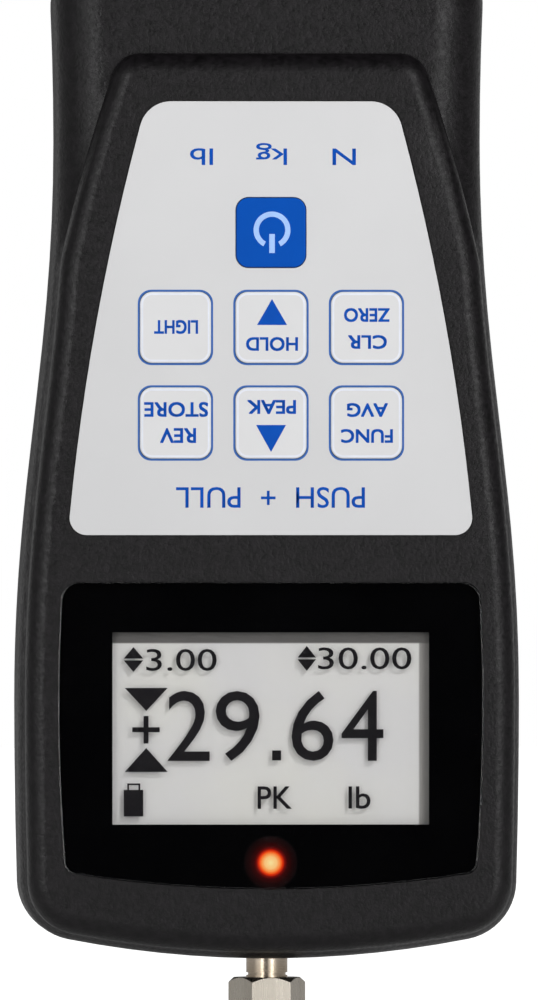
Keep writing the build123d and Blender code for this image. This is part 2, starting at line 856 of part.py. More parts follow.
# Keypad board with its snap domes
with BuildPart() as keypad_board:
    with BuildSketch(face_plane(keypad_rear)):
        with Locations((0, keypad_mid_z)):
            RectangleRounded(keypad_board_width, keypad_board_height, board_corner_radius)
        with Locations(*keypad_bosses):
            Circle(pilot_radius, mode=Mode.SUBTRACT)
    extrude(amount=board_thickness)
save(keypad_board, "keypad_board")

with BuildPart() as snap_domes:
    with BuildSketch(face_plane(keypad_height)):
        with Locations(*[(x, z) for x, z, size in key_places.values()]):
            Circle(dome_radius)
    extrude(amount=dome_height)
    chamfer(snap_domes.edges().group_by(Axis.Y)[0], dome_bevel)
save(snap_domes, "snap_domes")

keypad_board_screws = screw_set(
    keypad_bosses,
    keypad_rear,
    board_thickness + keypad_screw_bite,
    board_screw_head_radius,
    board_screw_head_height,
    board_screw_radius,
)
save(keypad_board_screws, "keypad_board_screws")

# Main board with its tongue under the lamp, its chips and its plugs
with BuildPart() as main_board:
    with BuildSketch(face_plane(board_rear)):
        with Locations((0, board_top_z - main_board_height / 2)):
            RectangleRounded(main_board_width, main_board_height, board_corner_radius)
        with Locations((0, tongue_z + tongue_length)):
            RectangleRounded(tongue_width, 2 * tongue_length, board_corner_radius)
        with Locations(*main_bosses):
            Circle(pilot_radius, mode=Mode.SUBTRACT)
    extrude(amount=board_thickness)
save(main_board, "main_board")

main_board_screws = screw_set(
    main_bosses,
    board_rear,
    board_thickness + main_screw_bite,
    board_screw_head_radius,
    board_screw_head_height,
    board_screw_radius,
)
save(main_board_screws, "main_board_screws")

# Chips: place to the side, drop below the board's top edge, width, height and thickness
with BuildPart() as board_chips:
    for x, drop, width, height, thickness in chips:
        with BuildSketch(face_plane(board_rear - thickness)):
            with Locations((x, board_top_z - drop)):
                Rectangle(width, height)
        extrude(amount=thickness)
save(board_chips, "board_chips")

plug_x = waist_screw_x - boss_radius - plug_gap
cell_plug_z = cell_top - cell_plug_drop
port_plug_z = cell_top - port_plug_drop
with BuildPart() as board_connectors:
    with BuildSketch(face_plane(board_rear - plug_depth)):
        with Locations((-plug_x, cell_plug_z), (plug_x, cell_plug_z), (plug_x, port_plug_z)):
            Rectangle(plug_width, plug_width)
    extrude(amount=plug_depth)
    with BuildSketch(face_plane(port_height)):
        with Locations((0, port_board_foot + plug_width / 2)):
            Rectangle(plug_width, plug_width)
    extrude(amount=plug_depth)
save(board_connectors, "board_connectors")

ribbon_start_z = board_top_z - ribbon_plug_inset
ribbon_end_z = keypad_mid_z - keypad_board_height / 2 + ribbon_plug_inset
with BuildPart() as keypad_connector:
    with BuildSketch(face_plane(board_height)):
        with Locations((0, ribbon_start_z - ribbon_plug_length / 2)):
            Rectangle(ribbon_plug_width, ribbon_plug_length)
    extrude(amount=ribbon_plug_depth)
    with BuildSketch(face_plane(keypad_rear - ribbon_plug_depth)):
        with Locations((0, ribbon_end_z + ribbon_plug_length / 2)):
            Rectangle(ribbon_plug_width, ribbon_plug_length)
    extrude(amount=ribbon_plug_depth)
save(keypad_connector, "keypad_connector")

with BuildPart() as keypad_ribbon:
    start_height = board_height + ribbon_plug_depth / 2
    end_height = keypad_rear - ribbon_plug_depth / 2
    with BuildSketch(Plane.YZ):
        with BuildLine():
            lower = Line((-start_height, ribbon_start_z), (-end_height, ribbon_end_z))
            upper = Line(
                (-start_height - ribbon_thickness, ribbon_start_z),
                (-end_height - ribbon_thickness, ribbon_end_z),
            )
            Line(lower @ 0, upper @ 0)
            Line(lower @ 1, upper @ 1)
        make_face()
    extrude(amount=ribbon_width / 2, both=True)
save(keypad_ribbon, "keypad_ribbon")

# Bracket that takes the force from the sensor to the rear inserts
shelf_depth = cell_front - plate_front
with BuildPart() as chassis_bracket:
    with BuildSketch(face_plane(plate_seat)):
        with Locations((0, stop_shelf_z + plate_height / 2)):
            RectangleRounded(plate_width, plate_height, plate_corner_radius)
    extrude(amount=plate_thickness)
    with BuildSketch(face_plane(plate_front)):
        with Locations((0, cell_top + shelf_thickness / 2)):
            Rectangle(cell_width, shelf_thickness)
        with Locations((0, stop_shelf_z + stop_shelf_thickness / 2)):
            Rectangle(stop_shelf_width, stop_shelf_thickness)
    extrude(amount=shelf_depth)
    for gusset_x in (-cell_width / 2 + gusset_thickness, cell_width / 2 - gusset_thickness):
        with BuildSketch(Plane.YZ.offset(gusset_x)):
            with BuildLine():
                Polyline(
                    (-plate_front, cell_top + shelf_thickness),
                    (gusset_land - plate_front - shelf_depth, cell_top + shelf_thickness),
                    (-plate_front, cell_top + shelf_thickness + gusset_height),
                    close=True,
                )
            make_face()
        extrude(amount=gusset_thickness / 2, both=True)
    with BuildSketch(face_plane(plate_seat)):
        with Locations(*insert_points):
            Circle(insert_spigot_radius + press_gap)
        with Locations(*bracket_points):
            Circle(plate_screw_way)
    extrude(amount=plate_thickness, mode=Mode.SUBTRACT)
    with BuildSketch(Plane.XY.offset(cell_top)):
        with Locations((0, -axis_height)):
            Circle(stud_radius + shank_gap)
    extrude(amount=shelf_thickness, mode=Mode.SUBTRACT)
    with BuildSketch(Plane.XY.offset(stop_shelf_z)):
        with Locations((0, -axis_height)):
            Circle(shaft_radius + stop_gap)
    extrude(amount=stop_shelf_thickness, mode=Mode.SUBTRACT)
save(chassis_bracket, "chassis_bracket")

# Socket-head screws that hold the bracket to the rear shell
with BuildPart() as chassis_screws:
    with BuildSketch(face_plane(plate_front)):
        with Locations(*bracket_points):
            Circle(plate_screw_head_radius)
    extrude(amount=plate_screw_head_height)
    with BuildSketch(face_plane(rear_wall - self_tap_bite)):
        with Locations(*bracket_points):
            Circle(self_tap_radius)
    extrude(amount=plate_front - rear_wall + self_tap_bite)
    with BuildSketch(face_plane(plate_front + plate_screw_head_height - socket_depth)):
        with Locations(*bracket_points):
            RegularPolygon(socket_radius, 6)
    extrude(amount=socket_depth, mode=Mode.SUBTRACT)
save(chassis_screws, "chassis_screws")

# S-shaped force sensor: two limbs, a slot from each side and a rounded window between
cell_mid = (cell_bottom + cell_top) / 2
slot_length = cell_width - slot_neck
with BuildPart() as load_cell:
    with BuildSketch(face_plane(cell_rear)):
        with Locations((0, cell_mid)):
            Rectangle(cell_width, cell_height)
        with Locations((slot_neck / 2, cell_top - limb_height - slot_width / 2)):
            Rectangle(slot_length, slot_width, mode=Mode.SUBTRACT)
        with Locations((-slot_neck / 2, cell_bottom + limb_height + slot_width / 2)):
            Rectangle(slot_length, slot_width, mode=Mode.SUBTRACT)
        with Locations((0, cell_mid)):
            window_corner = cell_window_round * cell_window_height
            RectangleRounded(cell_window_width, cell_window_height, window_corner, mode=Mode.SUBTRACT)
    extrude(amount=cell_thickness)
    with BuildSketch(Plane.XY.offset(cell_bottom)):
        with Locations((0, -axis_height)):
            Circle(stud_radius + bore_gap)
    extrude(amount=limb_height - stud_floor, mode=Mode.SUBTRACT)
    with BuildSketch(Plane.XY.offset(cell_top)):
        with Locations((0, -axis_height)):
            Circle(stud_radius + bore_gap)
    extrude(amount=stud_floor - limb_height, mode=Mode.SUBTRACT)
save(load_cell, "load_cell")

# Foil gauges on the sensor's two thin necks
upper_flexure = cell_top - limb_height - slot_width
lower_flexure = cell_bottom + limb_height + slot_width
with BuildPart() as strain_gauges:
    for foil_z in (upper_flexure + foil_thickness / 2, lower_flexure - foil_thickness / 2):
        with BuildSketch(face_plane(axis_height - foil_size[1] / 2)):
            with Locations((-foil_x, foil_z), (foil_x, foil_z)):
                Rectangle(foil_size[0], foil_thickness)
        extrude(amount=foil_size[1])
save(strain_gauges, "strain_gauges")

# Bolt that holds the sensor under the bracket's shelf
with BuildPart() as cell_bolt:
    with BuildSketch(Plane.XY.offset(cell_top + shelf_thickness)):
        with Locations((0, -axis_height)):
            Circle(bolt_head_radius)
    extrude(amount=bolt_head_height)
    with BuildSketch(Plane.XY.offset(cell_top - bolt_reach)):
        with Locations((0, -axis_height)):
            Circle(stud_radius)
    extrude(amount=shelf_thickness + bolt_reach)
    with BuildSketch(Plane.XY.offset(cell_top + shelf_thickness + bolt_head_height)):
        with Locations((0, -axis_height)):
            RegularPolygon(bolt_socket_radius, 6)
    extrude(amount=-bolt_head_height / 2, mode=Mode.SUBTRACT)
save(cell_bolt, "cell_bolt")

# Measuring shaft, turned in one piece with its stop collar and its two studs
shaft_axis = Axis((0, -axis_height, 0), (0, 0, 1))
nut_bottom = cell_bottom - nut_height
shaft_steps = [
    (stud_radius, cell_bottom + cell_stud_depth, nut_bottom - nut_relief),
    (shaft_radius, nut_bottom - nut_relief, ring_top),
    (ring_seat_radius, ring_top, ring_top - ring_thickness - fit_gap),
    (shaft_radius, ring_top - ring_thickness - fit_gap, coupling_top),
    (stud_radius, coupling_top, coupling_top - stud_length),
]
with BuildPart() as measuring_shaft:
    for radius, upper_z, lower_z in shaft_steps:
        with BuildSketch(Plane.XY.offset(lower_z)):
            with Locations((0, -axis_height)):
                Circle(radius)
        extrude(amount=upper_z - lower_z)
    with BuildSketch(Plane.XY.offset(collar_bottom)):
        with Locations((0, -axis_height)):
            Circle(collar_radius)
    extrude(amount=collar_height)
    with BuildSketch(Plane.XY.offset(coupling_top + shaft_groove_rise)):
        with Locations((0, -axis_height)):
            Circle(shaft_radius)
            Circle(shaft_radius - shaft_groove_depth, mode=Mode.SUBTRACT)
    extrude(amount=shaft_groove_width, mode=Mode.SUBTRACT)
save(measuring_shaft, "measuring_shaft")

# Nut that locks the shaft's stud in the sensor
with BuildPart() as shaft_locknut:
    with BuildSketch(Plane.XY.offset(nut_bottom)):
        with Locations((0, -axis_height)):
            RegularPolygon(nut_flats / 2, 6, major_radius=False)
            Circle(stud_radius + bore_gap, mode=Mode.SUBTRACT)
    extrude(amount=nut_height)
save(shaft_locknut, "shaft_locknut")

# Snap ring below the stop shelf
with BuildPart() as stop_ring:
    with BuildSketch(Plane.XY.offset(ring_top - ring_thickness)):
        with Locations((0, -axis_height)):
            Circle(ring_radius)
            Circle(ring_seat_radius + press_gap, mode=Mode.SUBTRACT)
        with Locations((0, -axis_height - ring_radius)):
            Rectangle(ring_slot, ring_radius, mode=Mode.SUBTRACT)
    extrude(amount=ring_thickness)
save(stop_ring, "stop_ring")

# Bush in the nose, held between the two shells
bush_flange_z = nose_z + side_wall + arc_drop(nose_radius, bush_flange_radius) + fit_gap
with BuildPart() as nose_bush:
    with BuildSketch(Plane.XY.offset(nose_z + bush_setback)):
        with Locations((0, -axis_height)):
            Circle(bush_radius)
    extrude(amount=bush_flange_z - nose_z)
    with BuildSketch(Plane.XY.offset(bush_flange_z)):
        with Locations((0, -axis_height)):
            Circle(bush_flange_radius)
    extrude(amount=bush_flange)
    with BuildSketch(Plane.XY.offset(nose_z)):
        with Locations((0, -axis_height)):
            Circle(shaft_radius + bush_bore_gap)
    extrude(amount=side_wall + bush_flange + 3 * cut_over, mode=Mode.SUBTRACT)
save(nose_bush, "nose_bush")

# Hexagon coupling: bevelled bar with a threaded bore at each end
hex_radius = coupling_flats / 2 / cos(radians(30))
hex_face = coupling_flats / 2 - coupling_face_step
with BuildPart() as hex_coupling:
    with BuildSketch(face_plane(axis_height)):
        with BuildLine():
            Polyline(
                (0, coupling_bottom),
                (hex_face, coupling_bottom),
                (hex_radius, coupling_bottom + coupling_bevel),
                (hex_radius, coupling_top - coupling_bevel),
                (hex_face, coupling_top),
                (0, coupling_top),
                close=True,
            )
        make_face()
    revolve(axis=shaft_axis)
    with BuildSketch(Plane.XY.offset(coupling_bottom)):
        with Locations(Location((0, -axis_height), coupling_turn)):
            RegularPolygon(coupling_flats / 2, 6, major_radius=False)
    extrude(amount=coupling_length, mode=Mode.INTERSECT)
    with BuildSketch(Plane.XY.offset(coupling_top)):
        with Locations((0, -axis_height)):
            Circle(stud_radius + press_gap)
    extrude(amount=-stud_length - coupling_bore_floor, mode=Mode.SUBTRACT)
    with BuildSketch(Plane.XY.offset(coupling_bottom)):
        with Locations((0, -axis_height)):
            Circle(coupling_bore_radius)
    extrude(amount=coupling_bore_depth, mode=Mode.SUBTRACT)
save(hex_coupling, "hex_coupling")

# Rechargeable pack: four cells in a tray, linked at their ends and held by a strap
battery_xs = [battery_pitch * (n - (battery_count - 1) / 2) for n in range(battery_count)]
cell_places = [(x, -battery_height) for x in battery_xs]
with BuildPart() as battery_cells:
    with BuildSketch(Plane.XY.offset(battery_z - battery_length / 2)):
        with Locations(*cell_places):
            Circle(cell_radius)
    extrude(amount=battery_length)
save(battery_cells, "battery_cells")

# Nickel strips that join the cells, and the pad where the lead starts
with BuildPart() as cell_links:
    with BuildSketch(Plane.XY.offset(battery_z + battery_length / 2)):
        for left, right in zip(battery_xs[0::2], battery_xs[1::2]):
            with Locations(((left + right) / 2, -battery_height)):
                RectangleRounded(right - left + link_width, link_width, link_corner)
    extrude(amount=link_thickness)
    with BuildSketch(Plane.XY.offset(battery_z - battery_length / 2 - link_thickness)):
        for left, right in zip(battery_xs[1::2], battery_xs[2::2]):
            with Locations(((left + right) / 2, -battery_height)):
                RectangleRounded(right - left + link_width, link_width, link_corner)
        with Locations((battery_xs[0], -battery_height)):
            RectangleRounded(link_width, link_width, link_corner)
    extrude(amount=link_thickness)
save(cell_links, "cell_links")

# Tray with a screw ear at each end
with BuildPart() as battery_tray:
    with BuildSketch(face_plane(rear_wall)):
        with Locations((0, battery_z)):
            RectangleRounded(tray_width, tray_length, tray_corner_radius)
    extrude(amount=tray_side_height)
    with BuildSketch(face_plane(ear_height)):
        with Locations(*tray_points):
            RectangleRounded(ear_size, ear_size, tray_corner_radius)
    extrude(amount=ear_thickness)
    with BuildSketch(Plane.XY.offset(battery_z - tray_length / 2 + tray_wall)):
        with Locations(*cell_places):
            Circle(cell_radius + fit_gap)
    extrude(amount=tray_length - 2 * tray_wall, mode=Mode.SUBTRACT)
    end_pocket_z = (battery_length + tray_end_gap) / 2
    with BuildSketch(face_plane(rear_wall + tray_floor)):
        with Locations((0, battery_z - end_pocket_z), (0, battery_z + end_pocket_z)):
            Rectangle(tray_width - tray_rim, tray_end_gap)
    extrude(amount=tray_side_height, mode=Mode.SUBTRACT)
    with BuildSketch(face_plane(ear_height)):
        with Locations(*tray_points):
            Circle(plate_screw_way)
    extrude(amount=ear_thickness, mode=Mode.SUBTRACT)
    with BuildSketch(Plane.XY.offset(battery_z - tray_length / 2)):
        with Locations((battery_xs[0], -battery_height)):
            Rectangle(link_width, link_width)
    extrude(amount=tray_wall, mode=Mode.SUBTRACT)
save(battery_tray, "battery_tray")

# Strap over the cells, down to the tray's side walls
with BuildPart() as battery_strap:
    with BuildSketch(Plane.XY.offset(battery_z - strap_width / 2)):
        with BuildLine():
            legs = Polyline(
                (-tray_width / 2 + strap_thickness / 2, -tray_top - strap_thickness / 2),
                (-tray_width / 2 + strap_thickness / 2, -strap_height - strap_thickness / 2),
                (tray_width / 2 - strap_thickness / 2, -strap_height - strap_thickness / 2),
                (tray_width / 2 - strap_thickness / 2, -tray_top - strap_thickness / 2),
            )
            offset(amount=strap_thickness / 2, kind=Kind.INTERSECTION)
        make_face()
    extrude(amount=strap_width)
save(battery_strap, "battery_strap")

# The tray's two screws
with BuildPart() as tray_screws:
    with BuildSketch(face_plane(ear_height + ear_thickness)):
        with Locations(*tray_points):
            Circle(tray_screw_head_radius)
    extrude(amount=tray_screw_head_height)
    with BuildSketch(face_plane(rear_wall - self_tap_bite)):
        with Locations(*tray_points):
            Circle(self_tap_radius)
    extrude(amount=ear_height + ear_thickness - rear_wall + self_tap_bite)
save(tray_screws, "tray_screws")

# Sockets on a small board in the handle's end
with BuildPart() as port_board:
    with BuildSketch(face_plane(port_rear)):
        with Locations((0, port_board_z)):
            RectangleRounded(port_board_width, port_board_length, board_corner_radius)
        with Locations(*port_points):
            Circle(port_screw_way, mode=Mode.SUBTRACT)
    extrude(amount=board_thickness)
save(port_board, "port_board")

# The small board's two screws
with BuildPart() as port_screws:
    with BuildSketch(face_plane(port_height)):
        with Locations(*port_points):
            Circle(port_screw_head_radius)
    extrude(amount=port_screw_head_height)
    with BuildSketch(face_plane(port_height - port_screw_bite)):
        with Locations(*port_points):
            Circle(self_tap_radius)
    extrude(amount=port_screw_bite)
save(port_screws, "port_screws")

data_front = end_z - arc_drop(end_radius, port_offset + data_width / 2) - port_setback
with BuildPart() as data_socket:
    with BuildSketch(Plane.XY.offset(data_front - data_length)):
        with Locations((-port_offset, -axis_height)):
            Rectangle(data_width, data_height)
    extrude(amount=data_length)
    with BuildSketch(Plane.XY.offset(data_front)):
        with Locations((-port_offset, -axis_height)):
            Rectangle(*data_mouth)
    extrude(amount=-data_mouth_depth, mode=Mode.SUBTRACT)
    with BuildSketch(Plane.XY.offset(data_front - data_mouth_depth)):
        with Locations((-port_offset, -axis_height)):
            Rectangle(*data_tongue)
    extrude(amount=data_tongue_length)
save(data_socket, "data_socket")

charge_mid = port_height + charge_height / 2
with BuildPart() as charge_socket:
    with BuildSketch(Plane.XY.offset(data_front - charge_length)):
        with Locations((port_offset, -charge_mid)):
            Rectangle(charge_width, charge_height)
    extrude(amount=charge_length)
    with BuildSketch(Plane.XY.offset(data_front)):
        with Locations((port_offset, -charge_mid)):
            Circle(charge_mouth_radius)
            Circle(charge_pin_radius, mode=Mode.SUBTRACT)
    extrude(amount=-charge_mouth_depth, mode=Mode.SUBTRACT)
save(charge_socket, "charge_socket")


def lead(points, radius, section_plane):
    """A round lead along straight runs joined by tangent arcs as large as the runs allow."""
    corners = [Vector(*p) for p in points]
    bends = []
    for before, here, after in zip(corners, corners[1:], corners[2:]):
        first = here - before
        second = after - here
        turn = first.get_angle(second)
        shorter = min(first.length, second.length)
        bends.append(bend_share * shorter * cos(radians(turn / 2)) / sqrt(1 - cos(radians(turn / 2)) ** 2))
    with BuildPart() as wire:
        with BuildLine() as path:
            FilletPolyline(*points, radius=bends)
        with BuildSketch(section_plane):
            Circle(radius)
        sweep(path=path.wires()[0])
    length = path.wires()[0].length
    ratio = wire.part.volume / (pi * radius**2 * length)
    print(f"lead {length:.1f} mm long, bends {[round(b, 1) for b in bends]}, volume ratio {ratio:.4f}")
    return wire


cell_cable = lead(
    [
        (cell_width / 2, -axis_height, cell_plug_z),
        (plug_x, -axis_height, cell_plug_z),
        (plug_x, plug_depth - board_rear, cell_plug_z),
    ],
    cell_wire_radius,
    Plane(origin=(cell_width / 2, -axis_height, cell_plug_z), z_dir=(1, 0, 0)),
)
save(cell_cable, "cell_cable")

link_z = battery_z - battery_length / 2 - link_thickness
with BuildPart() as battery_lead:
    for shift in (-wire_offset, wire_offset):
        start = (battery_xs[0] + shift, -battery_height, link_z)
        wire = lead(
            [
                start,
                (battery_xs[0] + shift, -battery_height, link_z - lead_start),
                (shift - plug_x, -battery_height - lead_lift, link_z - lead_slope),
                (shift - plug_x, -battery_height - lead_lift, cell_plug_z),
                (shift - plug_x, plug_depth - board_rear, cell_plug_z),
            ],
            wire_radius,
            Plane(origin=start, z_dir=(0, 0, -1)),
        )
        add(wire.part)
save(battery_lead, "battery_lead")

port_start = (0, -port_height - plug_depth, port_board_foot + plug_width / 2)
port_lead_y = port_start[1] - port_lead_rise
port_lead = lead(
    [
        port_start,
        (0, port_lead_y, port_start[2]),
        (port_lead_side, port_lead_y, port_start[2] - port_lead_slope),
        (plug_x - port_wire_radius, port_lead_y + plug_depth, battery_z - port_lead_turn),
        (plug_x, -port_height, link_z - port_lead_foot),
        (plug_x, -port_height, port_plug_z),
        (plug_x, plug_depth - board_rear, port_plug_z),
    ],
    port_wire_radius,
    Plane(origin=port_start, z_dir=(0, -1, 0)),
)
save(port_lead, "port_lead")
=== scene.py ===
import json
from math import cos, pi, radians, sin

import bmesh
import bpy
from mathutils import Matrix, Vector


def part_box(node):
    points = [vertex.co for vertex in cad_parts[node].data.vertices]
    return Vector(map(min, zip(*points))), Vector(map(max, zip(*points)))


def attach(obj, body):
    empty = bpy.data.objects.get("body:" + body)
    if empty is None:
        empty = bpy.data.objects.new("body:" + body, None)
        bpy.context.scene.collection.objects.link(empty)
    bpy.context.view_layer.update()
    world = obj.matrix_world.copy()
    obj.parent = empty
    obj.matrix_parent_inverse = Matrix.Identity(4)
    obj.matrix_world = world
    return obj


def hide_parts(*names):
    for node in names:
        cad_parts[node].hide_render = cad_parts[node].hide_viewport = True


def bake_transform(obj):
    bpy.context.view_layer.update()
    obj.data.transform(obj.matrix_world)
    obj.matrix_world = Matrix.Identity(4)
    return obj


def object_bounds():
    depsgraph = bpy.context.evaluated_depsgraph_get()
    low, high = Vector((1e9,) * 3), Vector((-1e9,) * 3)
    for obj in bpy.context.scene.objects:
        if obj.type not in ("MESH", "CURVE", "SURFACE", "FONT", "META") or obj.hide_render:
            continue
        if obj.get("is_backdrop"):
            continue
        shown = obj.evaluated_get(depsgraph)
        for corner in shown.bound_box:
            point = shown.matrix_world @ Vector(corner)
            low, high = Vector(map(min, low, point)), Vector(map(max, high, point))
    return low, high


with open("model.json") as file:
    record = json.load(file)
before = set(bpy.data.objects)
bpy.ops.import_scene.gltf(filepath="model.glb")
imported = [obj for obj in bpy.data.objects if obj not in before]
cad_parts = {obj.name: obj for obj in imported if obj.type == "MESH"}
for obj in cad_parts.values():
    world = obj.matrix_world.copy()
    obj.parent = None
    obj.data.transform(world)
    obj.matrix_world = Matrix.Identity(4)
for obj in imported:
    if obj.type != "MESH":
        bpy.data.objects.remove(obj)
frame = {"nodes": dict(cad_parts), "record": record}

bl_info = {
    "name": "Digital force gauge",
    "version": (1, 0, 0),
    "blender": (4, 5, 0),
    "location": "3D View > Sidebar > Force gauge",
    "description": "Finishes, prints, display and studio for a digital force gauge",
    "category": "Object",
}

MM = 0.001

# The photograph's frame: one pixel at the gauge's face, the column over its middle, the top row's height,
# the number of rows, and the column and row that the camera looks at
PIXEL = 0.1925 * MM
MIDDLE_COLUMN = 271.0
TOP_ROW_Z = 124.8 * MM
FRAME_HEIGHT = 1000
VIEW_COLUMN = 269.0
VIEW_ROW = 500.0

# The step between the overlapping copies that widen a printed stroke, how many pixels the strokes of
# legends and titles are widened, and how thick the display's marks are
LAYER = 0.0005 * MM
LEGEND_BOLD = 0.9
TITLE_BOLD = 0.3
MARK_THICKNESS = 0.02 * MM

# How far the black print and the disc with the lamp's painted glow lie behind the window's acrylic
PRINT_GAP = 0.03 * MM
DISC_GAP = 0.015 * MM

# The disc behind the window, on which the lamp's glow is painted, and how far that painted glow reaches over
# the disc, and the lamp's own light over the lamp itself
DISC_RADIUS = 5.2 * MM
DISC_THICKNESS = 0.06 * MM
DISC_GLOW = 5.4 * MM
LAMP_GLOW = 1.5 * MM

# The frame's shadow painted on the reflector: from the front glass's edge to the frame, how far the painted
# shadow's edge spreads to either side, and how much nearer the right edge it lies
FRAME_MARGIN = 0.8 * MM
SHADE_SPREAD = (0.25 * MM, 0.15 * MM)
SHADE_ASIDE = 0.25 * MM

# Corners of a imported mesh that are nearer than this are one, and edges sharper than this stay sharp
WELD = 0.001 * MM
SHARP = radians(32)

# Half the height of a thread's ridge, as a share of its pitch, and the corners in one turn of it
RIDGE_SHARE = 0.36
TURN_STEPS = 20

# Corners in one rounded corner of a key's outline, and steps round the power symbol
CORNER_STEPS = 8
RING_STEPS = 40

# From and to, as a Map Range node names them
SPAN = ("From Min", "From Max", "To Min", "To Max")

# Studio in metres: each lamp's size, its way from the gauge's face, and the distance of all three
KEY_SIZE = (0.14, 0.14)
KEY_WAY = (0.80, -1.0, 1.06)
SIDE_SIZE = (0.30, 1.1)
SIDE_WAY = (0.47, -0.88)
LAMP_DISTANCE = 1.2

# The face that the camera and lamps are aimed at, and the floor: its gap under the gauge, how far it
# reaches, its front edge, and how its own light grows with the distance from the gauge
FACE_Y = -42.0 * MM
FLOOR_GAP = 0.2 * MM
FLOOR_REACH = 6.0
FLOOR_FRONT = -0.45
FLOOR_LIFT = (0.12, 0.60, 0.40, 0.75)

# The room as the gauge mirrors it, by direction. White cards stand left and right, moved a little to one
# side. They fade upwards and downwards, and from ahead to the side. A second light lies behind the gauge,
# with a gap in its middle
CARDS_ASIDE = 0.14
CARDS = ((0.20, 0.006), (0.31, 1.0), (0.80, 0.95), (0.97, 0.30))
CARDS_UPRIGHT = (0.25, 0.75, 1.0, 0.2)
CARDS_AHEAD = (-0.58, -0.25, 1.15, 0.28)
BEHIND = (0.3, 0.95, 0.0, 0.55)
BEHIND_GAP = (0.04, 0.30, 0.1, 1.0)

# The six small keys
KEYS = ("key_menu", "key_up", "key_zero", "key_store", "key_down", "key_function")

# Each legend's name, its words, its box in pixels of the photograph (left, top, right, bottom) and its key
LEGENDS = (
    ("light_legend", "LIGHT", (154, 320, 198, 334), "key_menu"),
    ("hold_legend", "HOLD", (246, 337, 298, 351), "key_up"),
    ("zero_legend", "ZERO", (344, 308, 390, 322), "key_zero"),
    ("clear_legend", "CLR", (348, 335, 387, 349), "key_zero"),
    ("store_legend", "STORE", (144, 402, 208, 417), "key_store"),
    ("review_legend", "REV", (160, 428, 196, 443), "key_store"),
    ("peak_legend", "PEAK", (247, 400, 296, 414), "key_down"),
    ("average_legend", "AVG", (347, 403, 388, 417), "key_function"),
    ("function_legend", "FUNC", (341, 429, 393, 443), "key_function"),
)

# The two printed lines on the film, with the same boxes
TITLES = (
    ("force_direction_print", "PUSH  +  PULL", (176, 487, 365, 508)),
    ("unit_print", "N    kg    lb", (190, 143, 356, 165)),
)

# Corners of the arrows on the keys, and the power symbol's middle, radii, gap in degrees and bar
UP_MARK = ((257, 325), (287, 325), (272, 299))
DOWN_MARK = ((256, 425), (271, 452), (286, 425))
POWER_CENTRE = (272.0, 230.0)
POWER_RING = (13.2, 18.5)
POWER_GAP = 28.0
POWER_BAR = (269.2, 234.0, 274.8, 253.0)

# The display's words: name, box and widened pixels, in the order of the display's settings
READINGS = (
    ("low_limit", (146.5, 649, 217, 671), 0.0),
    ("high_limit", (318.5, 647.5, 412, 669.5), 0.0),
    ("reading_tens", (168, 691, 210, 761), 0.0),
    ("reading_units", (216, 691, 260, 761), 0.0),
    ("reading_tenths", (292, 691, 334, 761), 0.0),
    ("reading_hundredths", (342, 691, 384, 761), 0.0),
    ("mode_mark", (258, 786.5, 292, 809), 0.4),
    ("unit_mark", (349, 786.5, 371, 809), 0.4),
)

# Corners of the display's signs: the limits' arrows, the direction's arrows and cross, point and battery
SIGNS = (
    ((124, 658.6), (143.5, 658.6), (133.7, 647)),
    ((124, 660.4), (133.7, 672), (143.5, 660.4)),
    ((298, 657.6), (316.5, 657.6), (307.2, 646)),
    ((298, 659.4), (307.2, 671), (316.5, 659.4)),
    ((125, 688), (146.5, 711), (168, 688)),
    ((125, 772), (168, 772), (146.5, 748)),
    ((132.5, 727.3), (132.5, 732.3), (143.8, 732.3), (143.8, 743.6), (148.8, 743.6), (148.8, 732.3),
     (160, 732.3), (160, 727.3), (148.8, 727.3), (148.8, 716), (143.8, 716), (143.8, 727.3)),
    ((272.5, 750.5), (272.5, 760.5), (281.5, 760.5), (281.5, 750.5)),
    ((124, 790), (124, 816.5), (143.5, 816.5), (143.5, 790)),
    ((127.5, 783.5), (127.5, 790), (129.3, 790), (129.3, 785.3), (138.7, 785.3), (138.7, 790),
     (140.5, 790), (140.5, 783.5)),
)


def linear(code):
    """An sRGB hex colour as the linear colour that Blender works in."""
    parts = [int(code[i : i + 2], 16) / 255 for i in (1, 3, 5)]
    return tuple(c / 12.92 if c <= 0.04045 else ((c + 0.055) / 1.055) ** 2.4 for c in parts)


def face_point(column, row):
    """Where a pixel of the photograph lies on the gauge's face, as X and Z."""
    return (column - MIDDLE_COLUMN) * PIXEL, TOP_ROW_Z - row * PIXEL


def node(tree, kind, inputs=None, **settings):
    """Adds a node, gives its settings, and fills or links its inputs by name or number."""
    made = tree.nodes.new(kind)
    for name, value in settings.items():
        setattr(made, name, value)
    for name, value in (inputs or {}).items():
        if isinstance(value, bpy.types.NodeSocket):
            tree.links.new(value, made.inputs[name])
        else:
            made.inputs[name].default_value = value
    return made


class GaugeFinishSettings(bpy.types.PropertyGroup):
    """Colours of the casing, films and inks."""

    casing: bpy.props.FloatVectorProperty(
        name="Casing", description="Colour of the moulded casing", subtype="COLOR",
        default=linear("#0E0C0E"),
    )
    film: bpy.props.FloatVectorProperty(
        name="Keypad film", description="Colour of the keypad film", subtype="COLOR",
        default=linear("#D7D7D8"),
    )
    ink: bpy.props.FloatVectorProperty(
        name="Ink", description="Colour of the legends", subtype="COLOR",
        default=linear("#0650B6"),
    )
    outline: bpy.props.FloatVectorProperty(
        name="Key outline", description="Colour of the printed key outlines", subtype="COLOR",
        default=linear("#3F6BB4"),
    )
    power: bpy.props.FloatVectorProperty(
        name="Power key", description="Colour of the power key", subtype="COLOR",
        default=linear("#0050B4"),
    )
    grain: bpy.props.FloatProperty(
        name="Casing grain", description="Width of one grain of the casing's moulded texture",
        subtype="DISTANCE", unit="LENGTH", default=0.75 * MM,
    )


